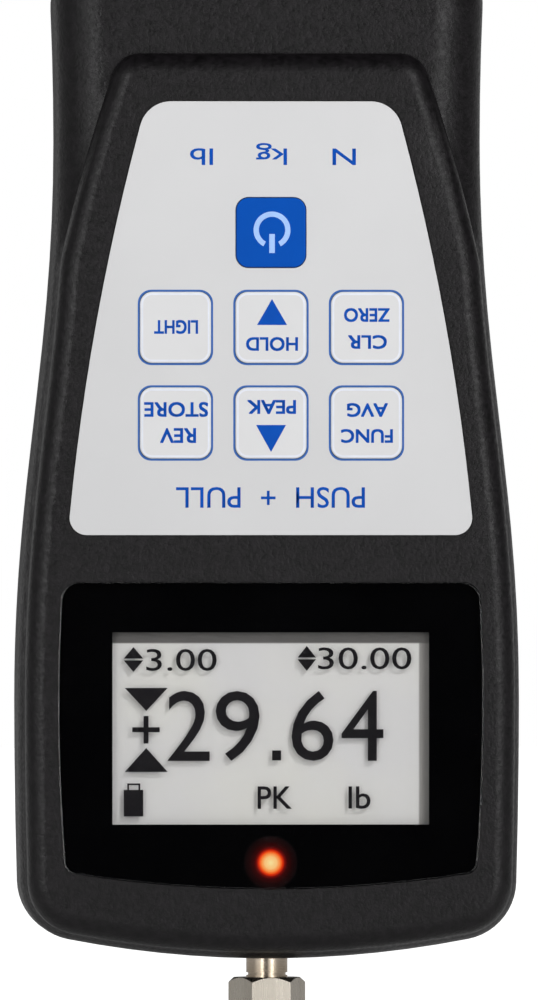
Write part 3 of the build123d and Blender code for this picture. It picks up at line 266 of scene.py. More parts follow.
class GaugePrintSettings(bpy.types.PropertyGroup):
    """Sizes of the printed key outlines and legends."""

    stroke: bpy.props.FloatProperty(
        name="Outline width", description="Width of the line round each key", subtype="DISTANCE",
        unit="LENGTH", default=0.38 * MM,
    )
    clearance: bpy.props.FloatProperty(
        name="Outline clearance", description="Gap between a key and the line round it", subtype="DISTANCE",
        unit="LENGTH", default=0.03 * MM,
    )
    corner: bpy.props.FloatProperty(
        name="Outline corner", description="Radius of the line's outer corners", subtype="DISTANCE",
        unit="LENGTH", default=2.6 * MM,
    )
    thickness: bpy.props.FloatProperty(
        name="Ink thickness", description="How far printed ink stands proud", subtype="DISTANCE",
        unit="LENGTH", default=0.02 * MM,
    )
    # The bead is drawn bright as a painted highlight of each key's embossed edge
    bead: bpy.props.FloatProperty(
        name="Bead width", description="Width of the bright bead inside each key's edge",
        subtype="DISTANCE", unit="LENGTH", default=0.36 * MM,
    )
    bead_inset: bpy.props.FloatProperty(
        name="Bead inset", description="From the key's edge to its bead", subtype="DISTANCE",
        unit="LENGTH", default=0.28 * MM,
    )


class GaugeThreadSettings(bpy.types.PropertyGroup):
    """Pitches and depth of the screw threads."""

    rear_pitch: bpy.props.FloatProperty(
        name="Rear pitch", description="Pitch of the rear M5 threads", subtype="DISTANCE", unit="LENGTH",
        default=0.8 * MM,
    )
    rear_depth: bpy.props.FloatProperty(
        name="Rear depth", description="How deep the rear threads go", subtype="DISTANCE", unit="LENGTH",
        default=9.0 * MM,
    )
    bore_pitch: bpy.props.FloatProperty(
        name="Coupling pitch", description="Pitch of the coupling's M6 thread", subtype="DISTANCE",
        unit="LENGTH", default=1.0 * MM,
    )


class GaugeDisplaySettings(bpy.types.PropertyGroup):
    """What the display shows, and how deep its marks lie."""

    reading: bpy.props.StringProperty(name="Reading", description="Four digits", default="2964")
    low: bpy.props.StringProperty(name="Low limit", description="Lower limit", default="3.00")
    high: bpy.props.StringProperty(name="High limit", description="Upper limit", default="30.00")
    mode: bpy.props.StringProperty(name="Mode", description="Two letters of the mode", default="PK")
    unit: bpy.props.StringProperty(name="Unit", description="Unit of force", default="lb")
    # The edge shade is a painted shadow: a darker band drawn into the reflector's colour
    shade: bpy.props.FloatProperty(
        name="Edge shade", description="Width of the dim band inside the display's upper and right edge",
        subtype="DISTANCE", unit="LENGTH", default=2.05 * MM,
    )


class GaugeStageSettings(bpy.types.PropertyGroup):
    """Camera and studio light."""

    azimuth: bpy.props.FloatProperty(
        name="Azimuth", description="Camera's turn round the gauge", subtype="ANGLE", unit="ROTATION",
        default=radians(-2.2),
    )
    distance: bpy.props.FloatProperty(
        name="Camera distance", description="From the gauge's face", subtype="DISTANCE", unit="LENGTH",
        default=4.2,
    )
    ambient: bpy.props.FloatProperty(
        name="Ambient light", description="Strength of the room's light", default=0.54
    )
    key: bpy.props.FloatProperty(
        name="Key lamp", description="Power of the small lamp at the upper right", subtype="POWER",
        unit="POWER", default=4.6,
    )
    side: bpy.props.FloatProperty(
        name="Side lamps", description="Power of each tall lamp beside the gauge", subtype="POWER",
        unit="POWER", default=3.0,
    )


def show(name, mesh, *finishes):
    """Makes a piece from a mesh that is already in place."""
    for finish in finishes:
        mesh.materials.append(bpy.data.materials[finish])
    piece = bpy.data.objects.new(name, mesh)
    bpy.context.scene.collection.objects.link(piece)
    return piece


def link(name, mesh, body, *finishes):
    """Makes a piece from a mesh that is already in place, and lets it ride on a body."""
    piece = show(name, mesh, *finishes)
    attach(piece, body)
    return piece


def to_face(mesh, depth):
    """Turns a mesh from the XY plane to face the viewer, its ground on the plane this far in front."""
    mesh.transform(Matrix.Translation((0, -depth, 0)) @ Matrix.Rotation(pi / 2, 4, "X"))
    return mesh


def print_words(name, text, box, depth, thickness, bold, turned):
    """Flat words stretched to fill a box of pixels, their strokes widened by bold pixels."""
    curve = bpy.data.curves.new(name, "FONT")
    curve.body = text
    curve.extrude = 0.5
    curve.resolution_u = 4
    holder = bpy.data.objects.new(name + "_text", curve)
    bpy.context.scene.collection.objects.link(holder)
    shape = holder.evaluated_get(bpy.context.evaluated_depsgraph_get())
    mesh = bpy.data.meshes.new_from_object(shape)
    bpy.data.objects.remove(holder)
    low = Vector(min(v.co[i] for v in mesh.vertices) for i in range(3))
    high = Vector(max(v.co[i] for v in mesh.vertices) for i in range(3))
    left, top = face_point(box[0], box[1])
    right, bottom = face_point(box[2], box[3])
    grow_by = bold * PIXEL
    wide = (right - left - grow_by) / (high.x - low.x)
    tall = (top - bottom - grow_by) / (high.y - low.y)
    middle = Matrix.Translation(-(low + high) / 2 + Vector((0, 0, 0.5)))
    spin = Matrix.Rotation(pi if turned else 0, 4, "Z")
    place = Matrix.Translation(((left + right) / 2, (top + bottom) / 2, 0))
    mesh.transform(place @ spin @ Matrix.Diagonal((wide, tall, thickness, 1)) @ middle)
    corners = ((-0.5, -0.5), (0.5, -0.5), (-0.5, 0.5), (0.5, 0.5)) if bold else ((0, 0),)
    widened = bmesh.new()
    for layer, (across, up) in enumerate(corners):
        shift = Vector((across * grow_by, up * grow_by, layer * LAYER))
        first = len(widened.verts)
        widened.from_mesh(mesh)
        widened.verts.ensure_lookup_table()
        bmesh.ops.translate(widened, verts=widened.verts[first:], vec=shift)
    widened.to_mesh(mesh)
    widened.free()
    mesh.name = name
    return to_face(mesh, depth)


def print_shapes(name, outlines, depth, thickness):
    """Flat shapes with these corners in pixels, given a little thickness."""
    shapes = bmesh.new()
    for outline in outlines:
        face = shapes.faces.new([shapes.verts.new((*face_point(*corner), 0)) for corner in outline])
        raised = bmesh.ops.extrude_face_region(shapes, geom=[face])["geom"]
        top = [v for v in raised if isinstance(v, bmesh.types.BMVert)]
        bmesh.ops.translate(shapes, verts=top, vec=(0, 0, thickness))
    bmesh.ops.recalc_face_normals(shapes, faces=shapes.faces)
    mesh = bpy.data.meshes.new(name)
    shapes.to_mesh(mesh)
    shapes.free()
    return to_face(mesh, depth)


def node_tree(name, sockets):
    """An empty geometry tree with named inputs, and its input node."""
    tree = bpy.data.node_groups.new(name, "GeometryNodeTree")
    for label, kind in sockets:
        tree.interface.new_socket(label, in_out="INPUT", socket_type=f"NodeSocket{kind}")
    tree.interface.new_socket("Geometry", in_out="OUTPUT", socket_type="NodeSocketGeometry")
    return tree, node(tree, "NodeGroupInput")


def close_tree(tree, geometry, material):
    """Ends a geometry tree in plain faces with one material."""
    real = node(tree, "GeometryNodeRealizeInstances", {"Geometry": geometry})
    painted = node(tree, "GeometryNodeSetMaterial", {"Geometry": real.outputs[0], "Material": material})
    node(tree, "NodeGroupOutput", {"Geometry": painted.outputs[0]})


def grow(name, tree, values):
    """Runs a geometry tree with these input values and returns its result as a plain mesh."""
    holder = bpy.data.objects.new(name + "_source", bpy.data.meshes.new(name + "_source"))
    bpy.context.scene.collection.objects.link(holder)
    modifier = holder.modifiers.new(name, "NODES")
    modifier.node_group = tree
    for item in tree.interface.items_tree:
        if item.in_out == "INPUT":
            modifier[item.identifier] = values[item.name]
    shape = holder.evaluated_get(bpy.context.evaluated_depsgraph_get())
    mesh = bpy.data.meshes.new_from_object(shape)
    mesh.name = name
    holder.modifiers.clear()
    bpy.data.objects.remove(holder)
    return mesh


def surface(name, shades, roughness, grain_mm, relief_mm, stretch=(1, 1, 1), drift_mm=12.0, **sockets):
    """A material whose shade drifts slowly, with a fine grain in its roughness and relief."""
    material = bpy.data.materials.new(name)
    material.use_nodes = True
    tree = material.node_tree
    tree.nodes.clear()
    place = node(tree, "ShaderNodeTexCoord").outputs["Object"]
    drawn = node(tree, "ShaderNodeMapping", {"Vector": place, "Scale": stretch}).outputs[0]
    drift = node(
        tree, "ShaderNodeTexNoise", {"Vector": drawn, "Scale": 1 / (drift_mm * MM), "Detail": 3.0}
    )
    grain = node(
        tree, "ShaderNodeTexNoise",
        {"Vector": drawn, "Scale": 1 / (grain_mm * MM), "Detail": 2.0, "Roughness": 0.55},
    )
    blend = node(
        tree, "ShaderNodeMapRange", {"Value": drift.outputs[0], "From Min": 0.35, "From Max": 0.65}
    )
    shade = node(
        tree, "ShaderNodeMix", {0: blend.outputs[0], 6: (*shades[0], 1), 7: (*shades[1], 1)},
        data_type="RGBA",
    )
    rough = node(
        tree, "ShaderNodeMapRange",
        {"Value": grain.outputs[0], **dict(zip(SPAN, (0.3, 0.7, *roughness)))},
    )
    relief = node(
        tree, "ShaderNodeBump", {"Height": grain.outputs[0], "Distance": relief_mm * MM, "Strength": 1.0}
    )
    shader = node(
        tree, "ShaderNodeBsdfPrincipled",
        {"Base Color": shade.outputs[2], "Roughness": rough.outputs[0], "Normal": relief.outputs[0]},
    )
    for socket, value in sockets.items():
        shader.inputs[socket.replace("_", " ")].default_value = value
    node(tree, "ShaderNodeOutputMaterial", {"Surface": shader.outputs[0]})
    return material


def pane(name, tint, roughness, ior):
    """Clear glass or acrylic that lets the lamps' light through to what lies behind it."""
    material = bpy.data.materials.new(name)
    material.use_nodes = True
    tree = material.node_tree
    tree.nodes.clear()
    place = node(tree, "ShaderNodeTexCoord").outputs["Object"]
    haze = node(tree, "ShaderNodeTexNoise", {"Vector": place, "Scale": 1 / (6 * MM), "Detail": 2.0})
    rough = node(
        tree, "ShaderNodeMapRange",
        {"Value": haze.outputs[0], "To Min": roughness, "To Max": roughness * 1.6},
    )
    clear = node(
        tree, "ShaderNodeBsdfPrincipled",
        {"Base Color": (*tint, 1), "Roughness": rough.outputs[0], "IOR": ior, "Transmission Weight": 1.0},
    )
    ray = node(tree, "ShaderNodeLightPath")
    lit = node(
        tree, "ShaderNodeMath", {0: ray.outputs["Is Shadow Ray"], 1: ray.outputs["Is Diffuse Ray"]},
        operation="MAXIMUM",
    )
    through = node(tree, "ShaderNodeBsdfTransparent", {"Color": (*tint, 1)})
    mix = node(tree, "ShaderNodeMixShader", {0: lit.outputs[0], 1: clear.outputs[0], 2: through.outputs[0]})
    node(tree, "ShaderNodeOutputMaterial", {"Surface": mix.outputs[0]})
    return material


class GAUGE_OT_finishes(bpy.types.Operator):
    """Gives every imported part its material"""

    bl_idname = "gauge.finishes"
    bl_label = "Finishes"

    def execute(self, context):
        chosen = context.scene.gauge_finish
        casing = tuple(chosen.casing)
        film = tuple(chosen.film)
        white = linear("#E6E6E2")
        # Injection-moulded ABS with a spark-eroded texture: matt black, with a soft broken sheen and a faint
        # mottle, drawn coarser than the real one so that it shows
        surface(
            "moulded_abs", (tuple(c * 0.55 for c in casing), tuple(c * 1.75 for c in casing)), (0.30, 0.48),
            chosen.grain / MM, 0.095, drift_mm=1.6, IOR=1.53, Specular_IOR_Level=0.30,
        )
        # Polyester film with a satin face, drawn a little coarser than the real one
        surface("satin_polyester_film", (film, tuple(c * 0.97 for c in film)), (0.34, 0.40), 0.2, 0.0006,
                drift_mm=25.0, IOR=1.57)
        # The same film, pressed up over each key, drawn a little lighter than the flat film
        surface("embossed_key_film", (tuple(c * 1.06 for c in film), tuple(c * 1.09 for c in film)),
                (0.34, 0.37), 0.2, 0.0004, drift_mm=25.0, IOR=1.57)
        power = tuple(chosen.power)
        surface("embossed_power_film", (power, tuple(c * 0.94 for c in power)), (0.34, 0.37), 0.2, 0.0004,
                IOR=1.57, Specular_IOR_Level=0.08)
        # Screen-printed inks, and the bright bead inside each key's edge, which is a painted highlight of its
        # embossed rim: even, slightly toothed
        for name, colour in (
            ("legend_ink", tuple(chosen.ink)),
            ("outline_ink", tuple(chosen.outline)),
            ("pale_blue_ink", linear("#A9CBFF")),
            ("painted_key_highlight", linear("#E9ECF6")),
        ):
            surface(name, (colour, tuple(c * 0.93 for c in colour)), (0.35, 0.5), 0.2, 0.001,
                    drift_mm=3.0, Specular_IOR_Level=0.1)
        # Black print behind the window
        surface("black_window_print", (linear("#020203"), linear("#040405")), (0.5, 0.6), 0.3, 0.001,
                Specular_IOR_Level=0.0)
        # Polished cast acrylic, and the display's float glass
        pane("polished_acrylic", (0.98, 0.98, 0.98), 0.01, 1.49)
        pane("display_float_glass", (0.99, 0.99, 0.985), 0.0, 1.10)
        # Reflector of the liquid-crystal display: pale grey with a faint tooth, and the frame's shadow
        # painted on it as a darker band
        reflector = surface("display_reflector", (linear("#E2E1E2"), linear("#E8E7E2")), (0.4, 0.5),
                            0.25, 0.002, drift_mm=30.0, IOR=1.5, Specular_IOR_Level=0.2)
        self.paint_frame_shadow(reflector, context.scene.gauge_display.shade)
        surface("liquid_crystal_black", (linear("#100E12"), linear("#151317")), (0.4, 0.5), 0.3, 0.001,
                Specular_IOR_Level=0.15)
        # Cast acrylic light guide, moulded nylon, cut foam, lacquered boards, extruded vinyl and shrink film:
        # each with the soft sheen that its making leaves
        surface("diffusing_acrylic", (white, linear("#DADAD2")), (0.3, 0.4), 1.0, 0.002)
        surface("white_nylon", (white, linear("#D6D5CE")), (0.4, 0.55), 0.4, 0.008)
        surface("black_nylon", (linear("#1B1B1C"), linear("#242425")), (0.42, 0.6), 0.3, 0.01)
        surface("closed_cell_foam", (linear("#202021"), linear("#2C2C2D")), (0.8, 0.95), 0.35, 0.08)
        surface("solder_mask_green", (linear("#0E5A33"), linear("#0A4A29")), (0.25, 0.35), 0.8, 0.01,
                Coat_Weight=0.3)
        surface("flexible_print", (linear("#C79A4A"), linear("#B4873A")), (0.3, 0.45), 0.6, 0.004,
                stretch=(6, 1, 1))
        surface("vinyl_grey", (linear("#6A6A6C"), linear("#5C5C5E")), (0.4, 0.5), 0.4, 0.006)
        surface("vinyl_red", (linear("#B01A14"), linear("#9A1410")), (0.35, 0.45), 0.4, 0.006)
        surface("battery_shrink_film", (linear("#2E6B46"), linear("#28603E")), (0.18, 0.28), 1.2, 0.01,
                Coat_Weight=0.4)
        # Metals: grain drawn out along the way each was worked
        surface("drawn_steel_bar", (linear("#DDD5C8"), linear("#CBC3B6")), (0.20, 0.38), 0.35, 0.004,
                stretch=(1, 1, 0.03), drift_mm=5.0, Metallic=1.0)
        surface("ground_steel_rod", (linear("#DACBB8"), linear("#C9B9A4")), (0.16, 0.30), 0.25, 0.003,
                stretch=(0.05, 0.05, 1), drift_mm=4.0, Metallic=1.0)
        surface("zinc_plated_steel", (linear("#B9BCC0"), linear("#A9AB9E")), (0.25, 0.42), 0.3, 0.006,
                Metallic=1.0)
        surface("turned_brass", (linear("#C9A352"), linear("#B58F42")), (0.2, 0.36), 0.2, 0.005,
                stretch=(1, 0.1, 1), Metallic=1.0)
        surface("milled_aluminium", (linear("#BFC1C3"), linear("#AEB0B2")), (0.28, 0.42), 0.4, 0.008,
                stretch=(0.06, 1, 1), Metallic=1.0)
        surface("anodised_aluminium", (linear("#C6C8CA"), linear("#BABCBE")), (0.35, 0.5), 0.3, 0.006,
                Metallic=1.0)
        surface("etched_foil", (linear("#C08A4A"), linear("#A87438")), (0.2, 0.35), 0.3, 0.004,
                Metallic=1.0)
        surface("rolled_nickel", (linear("#C4BFB2"), linear("#B2AD9F")), (0.2, 0.35), 0.3, 0.005,
                stretch=(0.1, 1, 1), Metallic=1.0)
        surface("tin_plated_shell", (linear("#C3C4C2"), linear("#B2B3B0")), (0.2, 0.34), 0.5, 0.004,
                Metallic=1.0)
        by_slot = {
            "housing": "moulded_abs", "steel_screws": "zinc_plated_steel", "brass_inserts": "turned_brass",
            "window": "polished_acrylic", "black_print": "black_window_print", "foam": "closed_cell_foam",
            "display": "display_reflector", "front_glass": "display_float_glass",
            "light_guide": "diffusing_acrylic", "white_plastic": "white_nylon",
            "lamp": "lit_lamp_epoxy", "overlay_film": "satin_polyester_film",
            "key_film": "embossed_key_film", "power_film": "embossed_power_film",
            "circuit_board": "solder_mask_green",
            "black_plastic": "black_nylon", "ribbon": "flexible_print", "bracket": "milled_aluminium",
            "sensor_aluminium": "anodised_aluminium", "foil": "etched_foil", "grey_cable": "vinyl_grey",
            "red_cable": "vinyl_red", "battery_wrap": "battery_shrink_film", "nickel": "rolled_nickel",
            "socket_shell": "tin_plated_shell", "shaft_steel": "ground_steel_rod",
        }
        lamp_low, lamp_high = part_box("status_led")
        glow(
            "lit_lamp_epoxy", (lamp_low.x + lamp_high.x) / 2, (lamp_low.z + lamp_high.z) / 2, LAMP_GLOW,
            ((0.0, "#FFF1C0"), (0.5, "#FFB26A"), (1.0, "#FF3C1E")), 1.6,
        )
        for part in frame["record"]["subparts"]:
            cad = frame["nodes"][part["node"]]
            finish = "drawn_steel_bar" if part["node"] == "hex_coupling" else by_slot[part["material_slot"]]
            cad.data.materials.clear()
            cad.data.materials.append(bpy.data.materials[finish])
        return {"FINISHED"}

    def paint_frame_shadow(self, material, width):
        """Paints the frame's shadow on the reflector: a darker band inside the window's upper and right edge.
        """
        tree = material.node_tree
        shader = next(n for n in tree.nodes if n.type == "BSDF_PRINCIPLED")
        plain = shader.inputs["Base Color"].links[0].from_socket
        low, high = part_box("lcd_front_glass")
        place = node(tree, "ShaderNodeTexCoord").outputs["Object"]
        axes = node(tree, "ShaderNodeSeparateXYZ", {0: place})
        # Painted shadow colours: grey along the right edge, darker grey along the upper edge
        for axis, edge, colour in (("X", high.x + SHADE_ASIDE, "#9A9896"), ("Z", high.z, "#757372")):
            start = edge - FRAME_MARGIN - width
            band = node(
                tree, "ShaderNodeMapRange",
                {"Value": axes.outputs[axis], "From Min": start - SHADE_SPREAD[0],
                 "From Max": start + SHADE_SPREAD[1]},
                interpolation_type="SMOOTHSTEP",
            )
            dim = node(
                tree, "ShaderNodeMix", {0: band.outputs[0], 6: plain, 7: (*linear(colour), 1)},
                data_type="RGBA",
            )
            plain = dim.outputs[2]
        tree.links.new(plain, shader.inputs["Base Color"])


def glow(name, x, z, radius, stops, strength):
    """A lamp's light in rings from the centre outwards: the lamp's own, or its glow painted as emission on
    what is round it.
    """
    material = bpy.data.materials.new(name)
    material.use_nodes = True
    tree = material.node_tree
    tree.nodes.clear()
    place = node(tree, "ShaderNodeTexCoord").outputs["Object"]
    flat = node(
        tree, "ShaderNodeMapping",
        {"Vector": place, "Location": (-x / radius, 0, -z / radius), "Scale": (1 / radius, 0, 1 / radius)},
    )
    away = node(tree, "ShaderNodeVectorMath", {0: flat.outputs[0]}, operation="LENGTH")
    ramp = node(tree, "ShaderNodeValToRGB", {0: away.outputs["Value"]})
    ramp.color_ramp.interpolation = "EASE"
    while len(ramp.color_ramp.elements) < len(stops):
        ramp.color_ramp.elements.new(0.5)
    for element, (position, colour) in zip(ramp.color_ramp.elements, stops):
        element.position = position
        element.color = (*linear(colour), 1)
    shader = node(
        tree, "ShaderNodeBsdfPrincipled",
        {"Base Color": (*linear("#020203"), 1), "Roughness": 0.5, "Specular IOR Level": 0.05,
         "Emission Color": ramp.outputs[0], "Emission Strength": strength},
    )
    node(tree, "ShaderNodeOutputMaterial", {"Surface": shader.outputs[0]})
    return material


def merged_copy(part):
    """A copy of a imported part's mesh with its corners joined, smooth but for its sharp edges."""
    merged = bmesh.new()
    merged.from_mesh(frame["nodes"][part].data)
    bmesh.ops.remove_doubles(merged, verts=merged.verts, dist=WELD)
    mesh = bpy.data.meshes.new(part + "_merged")
    merged.to_mesh(mesh)
    merged.free()
    if "custom_normal" in mesh.attributes:
        mesh.attributes.remove(mesh.attributes["custom_normal"])
    mesh.shade_smooth()
    mesh.set_sharp_from_angle(angle=SHARP)
    return mesh


class GAUGE_OT_bending_sensor(bpy.types.Operator):
    """Shows the force sensor as a merged, smooth-shaded copy of its mesh in place of the imported one"""

    bl_idname = "gauge.bending_sensor"
    bl_label = "Bending sensor"

    def execute(self, context):
        mesh = merged_copy("load_cell")
        mesh.materials.clear()
        piece = show("load_cell_bending", mesh, "anodised_aluminium")
        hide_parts("load_cell")
        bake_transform(piece)
        return {"FINISHED"}


class GAUGE_OT_smooth_shell(bpy.types.Operator):
    """Shows the front shell with even shading along its rounded edges"""

    bl_idname = "gauge.smooth_shell"
    bl_label = "Smooth front shell"

    def execute(self, context):
        mesh = merged_copy("front_shell")
        holder = bpy.data.objects.new("front_shell_merged", mesh)
        bpy.context.scene.collection.objects.link(holder)
        holder.modifiers.new("even_normals", "WEIGHTED_NORMAL").keep_sharp = True
        even = bpy.data.meshes.new_from_object(holder.evaluated_get(bpy.context.evaluated_depsgraph_get()))
        even.name = "front_shell_smooth"
        even.materials.clear()
        holder.modifiers.clear()
        bpy.data.objects.remove(holder)
        piece = link("front_shell_smooth", even, "housing", "moulded_abs")
        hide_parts("front_shell")
        return {"FINISHED"}


class GAUGE_OT_window_print(bpy.types.Operator):
    """Shows the window's black print a hair behind the acrylic, so that no two faces coincide"""

    bl_idname = "gauge.window_print"
    bl_label = "Window print"

    def execute(self, context):
        low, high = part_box("window_mask")
        mesh = merged_copy("window_mask")
        for corner in mesh.vertices:
            if corner.co.y < (low.y + high.y) / 2:
                corner.co.y += PRINT_GAP
        mesh.materials.clear()
        piece = link("window_print", mesh, "housing", "black_window_print")
        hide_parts("window_mask")
        return {"FINISHED"}


def in_rows(tree, instance, given):
    """Repeats an instance in the columns and rows that the tree's inputs give, from the origin on."""
    for count, axis, pitch in (("Columns", 0, "Pitch X"), ("Rows", 1, "Pitch Y")):
        step = node(tree, "ShaderNodeCombineXYZ", {axis: given.outputs[pitch]})
        line = node(
            tree, "GeometryNodeMeshLine", {"Count": given.outputs[count], "Offset": step.outputs[0]}
        )
        instance = node(
            tree, "GeometryNodeInstanceOnPoints", {"Points": line.outputs[0], "Instance": instance}
        ).outputs[0]
    return instance


def square_rings():
    """A geometry tree for thin square rings with round corners, in columns and rows."""
    tree, given = node_tree(
        "square_rings",
        (("Size", "Float"), ("Stroke", "Float"), ("Corner", "Float"), ("Columns", "Int"), ("Rows", "Int"),
         ("Pitch X", "Float"), ("Pitch Y", "Float"), ("Thickness", "Float"), ("Finish", "Material")),
    )
    inner_size = node(
        tree, "ShaderNodeMath", {0: given.outputs["Stroke"], 1: -2.0, 2: given.outputs["Size"]},
        operation="MULTIPLY_ADD",
    )
    inner_corner = node(
        tree, "ShaderNodeMath", {0: given.outputs["Corner"], 1: given.outputs["Stroke"]},
        operation="SUBTRACT",
    )
    both = node(tree, "GeometryNodeJoinGeometry")
    for size, corner in (
        (given.outputs["Size"], given.outputs["Corner"]),
        (inner_size.outputs[0], inner_corner.outputs[0]),
    ):
        square = node(tree, "GeometryNodeCurvePrimitiveQuadrilateral", {"Width": size, "Height": size})
        loop = node(
            tree, "GeometryNodeFilletCurve",
            {"Curve": square.outputs[0], "Count": CORNER_STEPS, "Radius": corner, "Limit Radius": True},
            mode="POLY",
        )
        tree.links.new(loop.outputs[0], both.inputs[0])
    filled = node(tree, "GeometryNodeFillCurve", {"Curve": both.outputs[0]})
    upright = node(tree, "ShaderNodeCombineXYZ", {2: given.outputs["Thickness"]})
    raised = node(
        tree, "GeometryNodeExtrudeMesh",
        {"Mesh": filled.outputs[0], "Offset": upright.outputs[0], "Offset Scale": 1.0, "Individual": False},
    )
    base = node(tree, "GeometryNodeFlipFaces", {"Mesh": filled.outputs[0]})
    solid = node(tree, "GeometryNodeJoinGeometry")
    for half in (raised, base):
        tree.links.new(half.outputs[0], solid.inputs[0])
    welded = node(tree, "GeometryNodeMergeByDistance", {"Geometry": solid.outputs[0], "Distance": WELD})
    close_tree(tree, in_rows(tree, welded.outputs[0], given), given.outputs["Finish"])
    return tree


class GAUGE_OT_key_outlines(bpy.types.Operator):
    """Prints a line round each of the six small keys, and gives each key a thin bead painted bright as the
    highlight of its embossed edge
    """

    bl_idname = "gauge.key_outlines"
    bl_label = "Key outlines"

    def execute(self, context):
        chosen = context.scene.gauge_print
        tree = square_rings()
        low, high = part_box("key_store")
        far_low, far_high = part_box("key_zero")
        size = high.x - low.x
        ring = {
            "Size": size + 2 * (chosen.clearance + chosen.stroke), "Stroke": chosen.stroke,
            "Corner": chosen.corner, "Columns": 3, "Rows": 2, "Pitch X": (far_low.x - low.x) / 2,
            "Pitch Y": far_low.z - low.z, "Thickness": chosen.thickness,
            "Finish": bpy.data.materials["outline_ink"],
        }
        mesh = grow("key_outlines", tree, ring)
        mesh.transform(Matrix.Translation(((low.x + high.x) / 2, (low.z + high.z) / 2, 0)))
        to_face(mesh, -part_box("keypad_overlay")[0].y)
        link("key_outlines", mesh, "housing")
        # A thin ring inside each key's edge, painted bright as the highlight of its embossed rim
        bead = dict(
            ring, Size=size - 2 * chosen.bead_inset, Stroke=chosen.bead, Columns=1, Rows=1,
            Corner=chosen.corner - 2 * chosen.bead_inset, Thickness=chosen.thickness / 2,
            Finish=bpy.data.materials["painted_key_highlight"],
        )
        for key in KEYS:
            low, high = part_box(key)
            mesh = grow(key + "_bead", tree, bead)
            mesh.transform(Matrix.Translation(((low.x + high.x) / 2, (low.z + high.z) / 2, 0)))
            link(key + "_bead", to_face(mesh, -low.y), key + "_button")
        return {"FINISHED"}


class GAUGE_OT_threads(bpy.types.Operator):
    """Cuts the screw threads in the rear inserts and in the coupling's lower end"""

    bl_idname = "gauge.threads"
    bl_label = "Threads"

    def execute(self, context):
        chosen = context.scene.gauge_thread
        mounts = {mount["name"]: mount for mount in frame["record"]["mounts"]}
        tree, given = node_tree(
            "thread_ridges",
            (("Radius", "Float"), ("Pitch", "Float"), ("Length", "Float"), ("Columns", "Int"),
             ("Rows", "Int"), ("Pitch X", "Float"), ("Pitch Y", "Float"), ("Finish", "Material")),
        )
        turns = node(
            tree, "ShaderNodeMath", {0: given.outputs["Length"], 1: given.outputs["Pitch"]},
            operation="DIVIDE",
        )
        helix = node(
            tree, "GeometryNodeCurveSpiral",
            {"Resolution": TURN_STEPS, "Rotations": turns.outputs[0],
             "Start Radius": given.outputs["Radius"], "End Radius": given.outputs["Radius"],
             "Height": given.outputs["Length"]},
        )
        level = node(tree, "GeometryNodeSetCurveNormal", {"Curve": helix.outputs[0]}, mode="Z_UP")
        ridge = node(
            tree, "ShaderNodeMath", {0: given.outputs["Pitch"], 1: RIDGE_SHARE}, operation="MULTIPLY"
        )
        profile = node(
            tree, "GeometryNodeCurvePrimitiveCircle", {"Resolution": 4, "Radius": ridge.outputs[0]}
        )
        swept = node(
            tree, "GeometryNodeCurveToMesh",
            {"Curve": level.outputs[0], "Profile Curve": profile.outputs[0], "Fill Caps": True},
        )
        close_tree(tree, in_rows(tree, swept.outputs[0], given), given.outputs["Finish"])

        rear = mounts["rear_holes"]["dims"]
        low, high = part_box("mount_inserts")
        across, up = rear["spacing_x_mm"] * MM, rear["spacing_y_mm"] * MM
        mesh = grow("insert_threads", tree, {
            "Radius": rear["hole_r_mm"] * MM, "Pitch": chosen.rear_pitch,
            "Length": min(chosen.rear_depth, high.y - low.y) - 2 * chosen.rear_pitch,
            "Columns": 2, "Rows": 2, "Pitch X": across, "Pitch Y": up,
            "Finish": bpy.data.materials["turned_brass"],
        })
        mesh.transform(Matrix.Translation((-across / 2, -up / 2, chosen.rear_pitch)))
        to_face(mesh, 0)
        link("insert_threads", mesh, "housing")

        bore = mounts["coupling_thread"]
        mesh = grow("coupling_threads", tree, {
            "Radius": bore["dims"]["r_mm"] * MM, "Pitch": chosen.bore_pitch,
            "Length": bore["dims"]["length_mm"] * MM - 2 * chosen.bore_pitch,
            "Columns": 1, "Rows": 1, "Pitch X": 0.0, "Pitch Y": 0.0,
            "Finish": bpy.data.materials["ground_steel_rod"],
        })
        mesh.transform(Matrix.Translation(Vector(bore["pos_m"]) + Vector((0, 0, chosen.bore_pitch))))
        link("coupling_threads", mesh, "measuring_rod")
        return {"FINISHED"}


class GAUGE_OT_legends(bpy.types.Operator):
    """Prints the words and marks on the keys and on the keypad film"""

    bl_idname = "gauge.legends"
    bl_label = "Legends"

    def execute(self, context):
        ink = context.scene.gauge_print.thickness
        face = -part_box("keypad_overlay")[0].y
        for name, text, box, key in LEGENDS:
            mesh = print_words(name, text, box, -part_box(key)[0].y, ink, LEGEND_BOLD, True)
            link(name, mesh, key + "_button", "legend_ink")
        for name, text, box in TITLES:
            mesh = print_words(name, text, box, face, ink, TITLE_BOLD, True)
            link(name, mesh, "housing", "legend_ink")
        for name, outline, key in (("up_mark", UP_MARK, "key_up"), ("down_mark", DOWN_MARK, "key_down")):
            mesh = print_shapes(name, [outline], -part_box(key)[0].y, ink)
            link(name, mesh, key + "_button", "legend_ink")
        onwards = range(RING_STEPS + 1)
        ring = []
        for radius, order in ((POWER_RING[1], onwards), (POWER_RING[0], reversed(onwards))):
            for step in order:
                turn = radians(POWER_GAP + (360 - 2 * POWER_GAP) * step / RING_STEPS)
                ring.append((POWER_CENTRE[0] + radius * sin(turn), POWER_CENTRE[1] + radius * cos(turn)))
        left, top, right, bottom = POWER_BAR
        bar = [(left, top), (left, bottom), (right, bottom), (right, top)]
        mesh = print_shapes("power_symbol", [ring, bar], -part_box("key_power")[0].y, ink)
        link("power_symbol", mesh, "key_power_button", "pale_blue_ink")
        return {"FINISHED"}


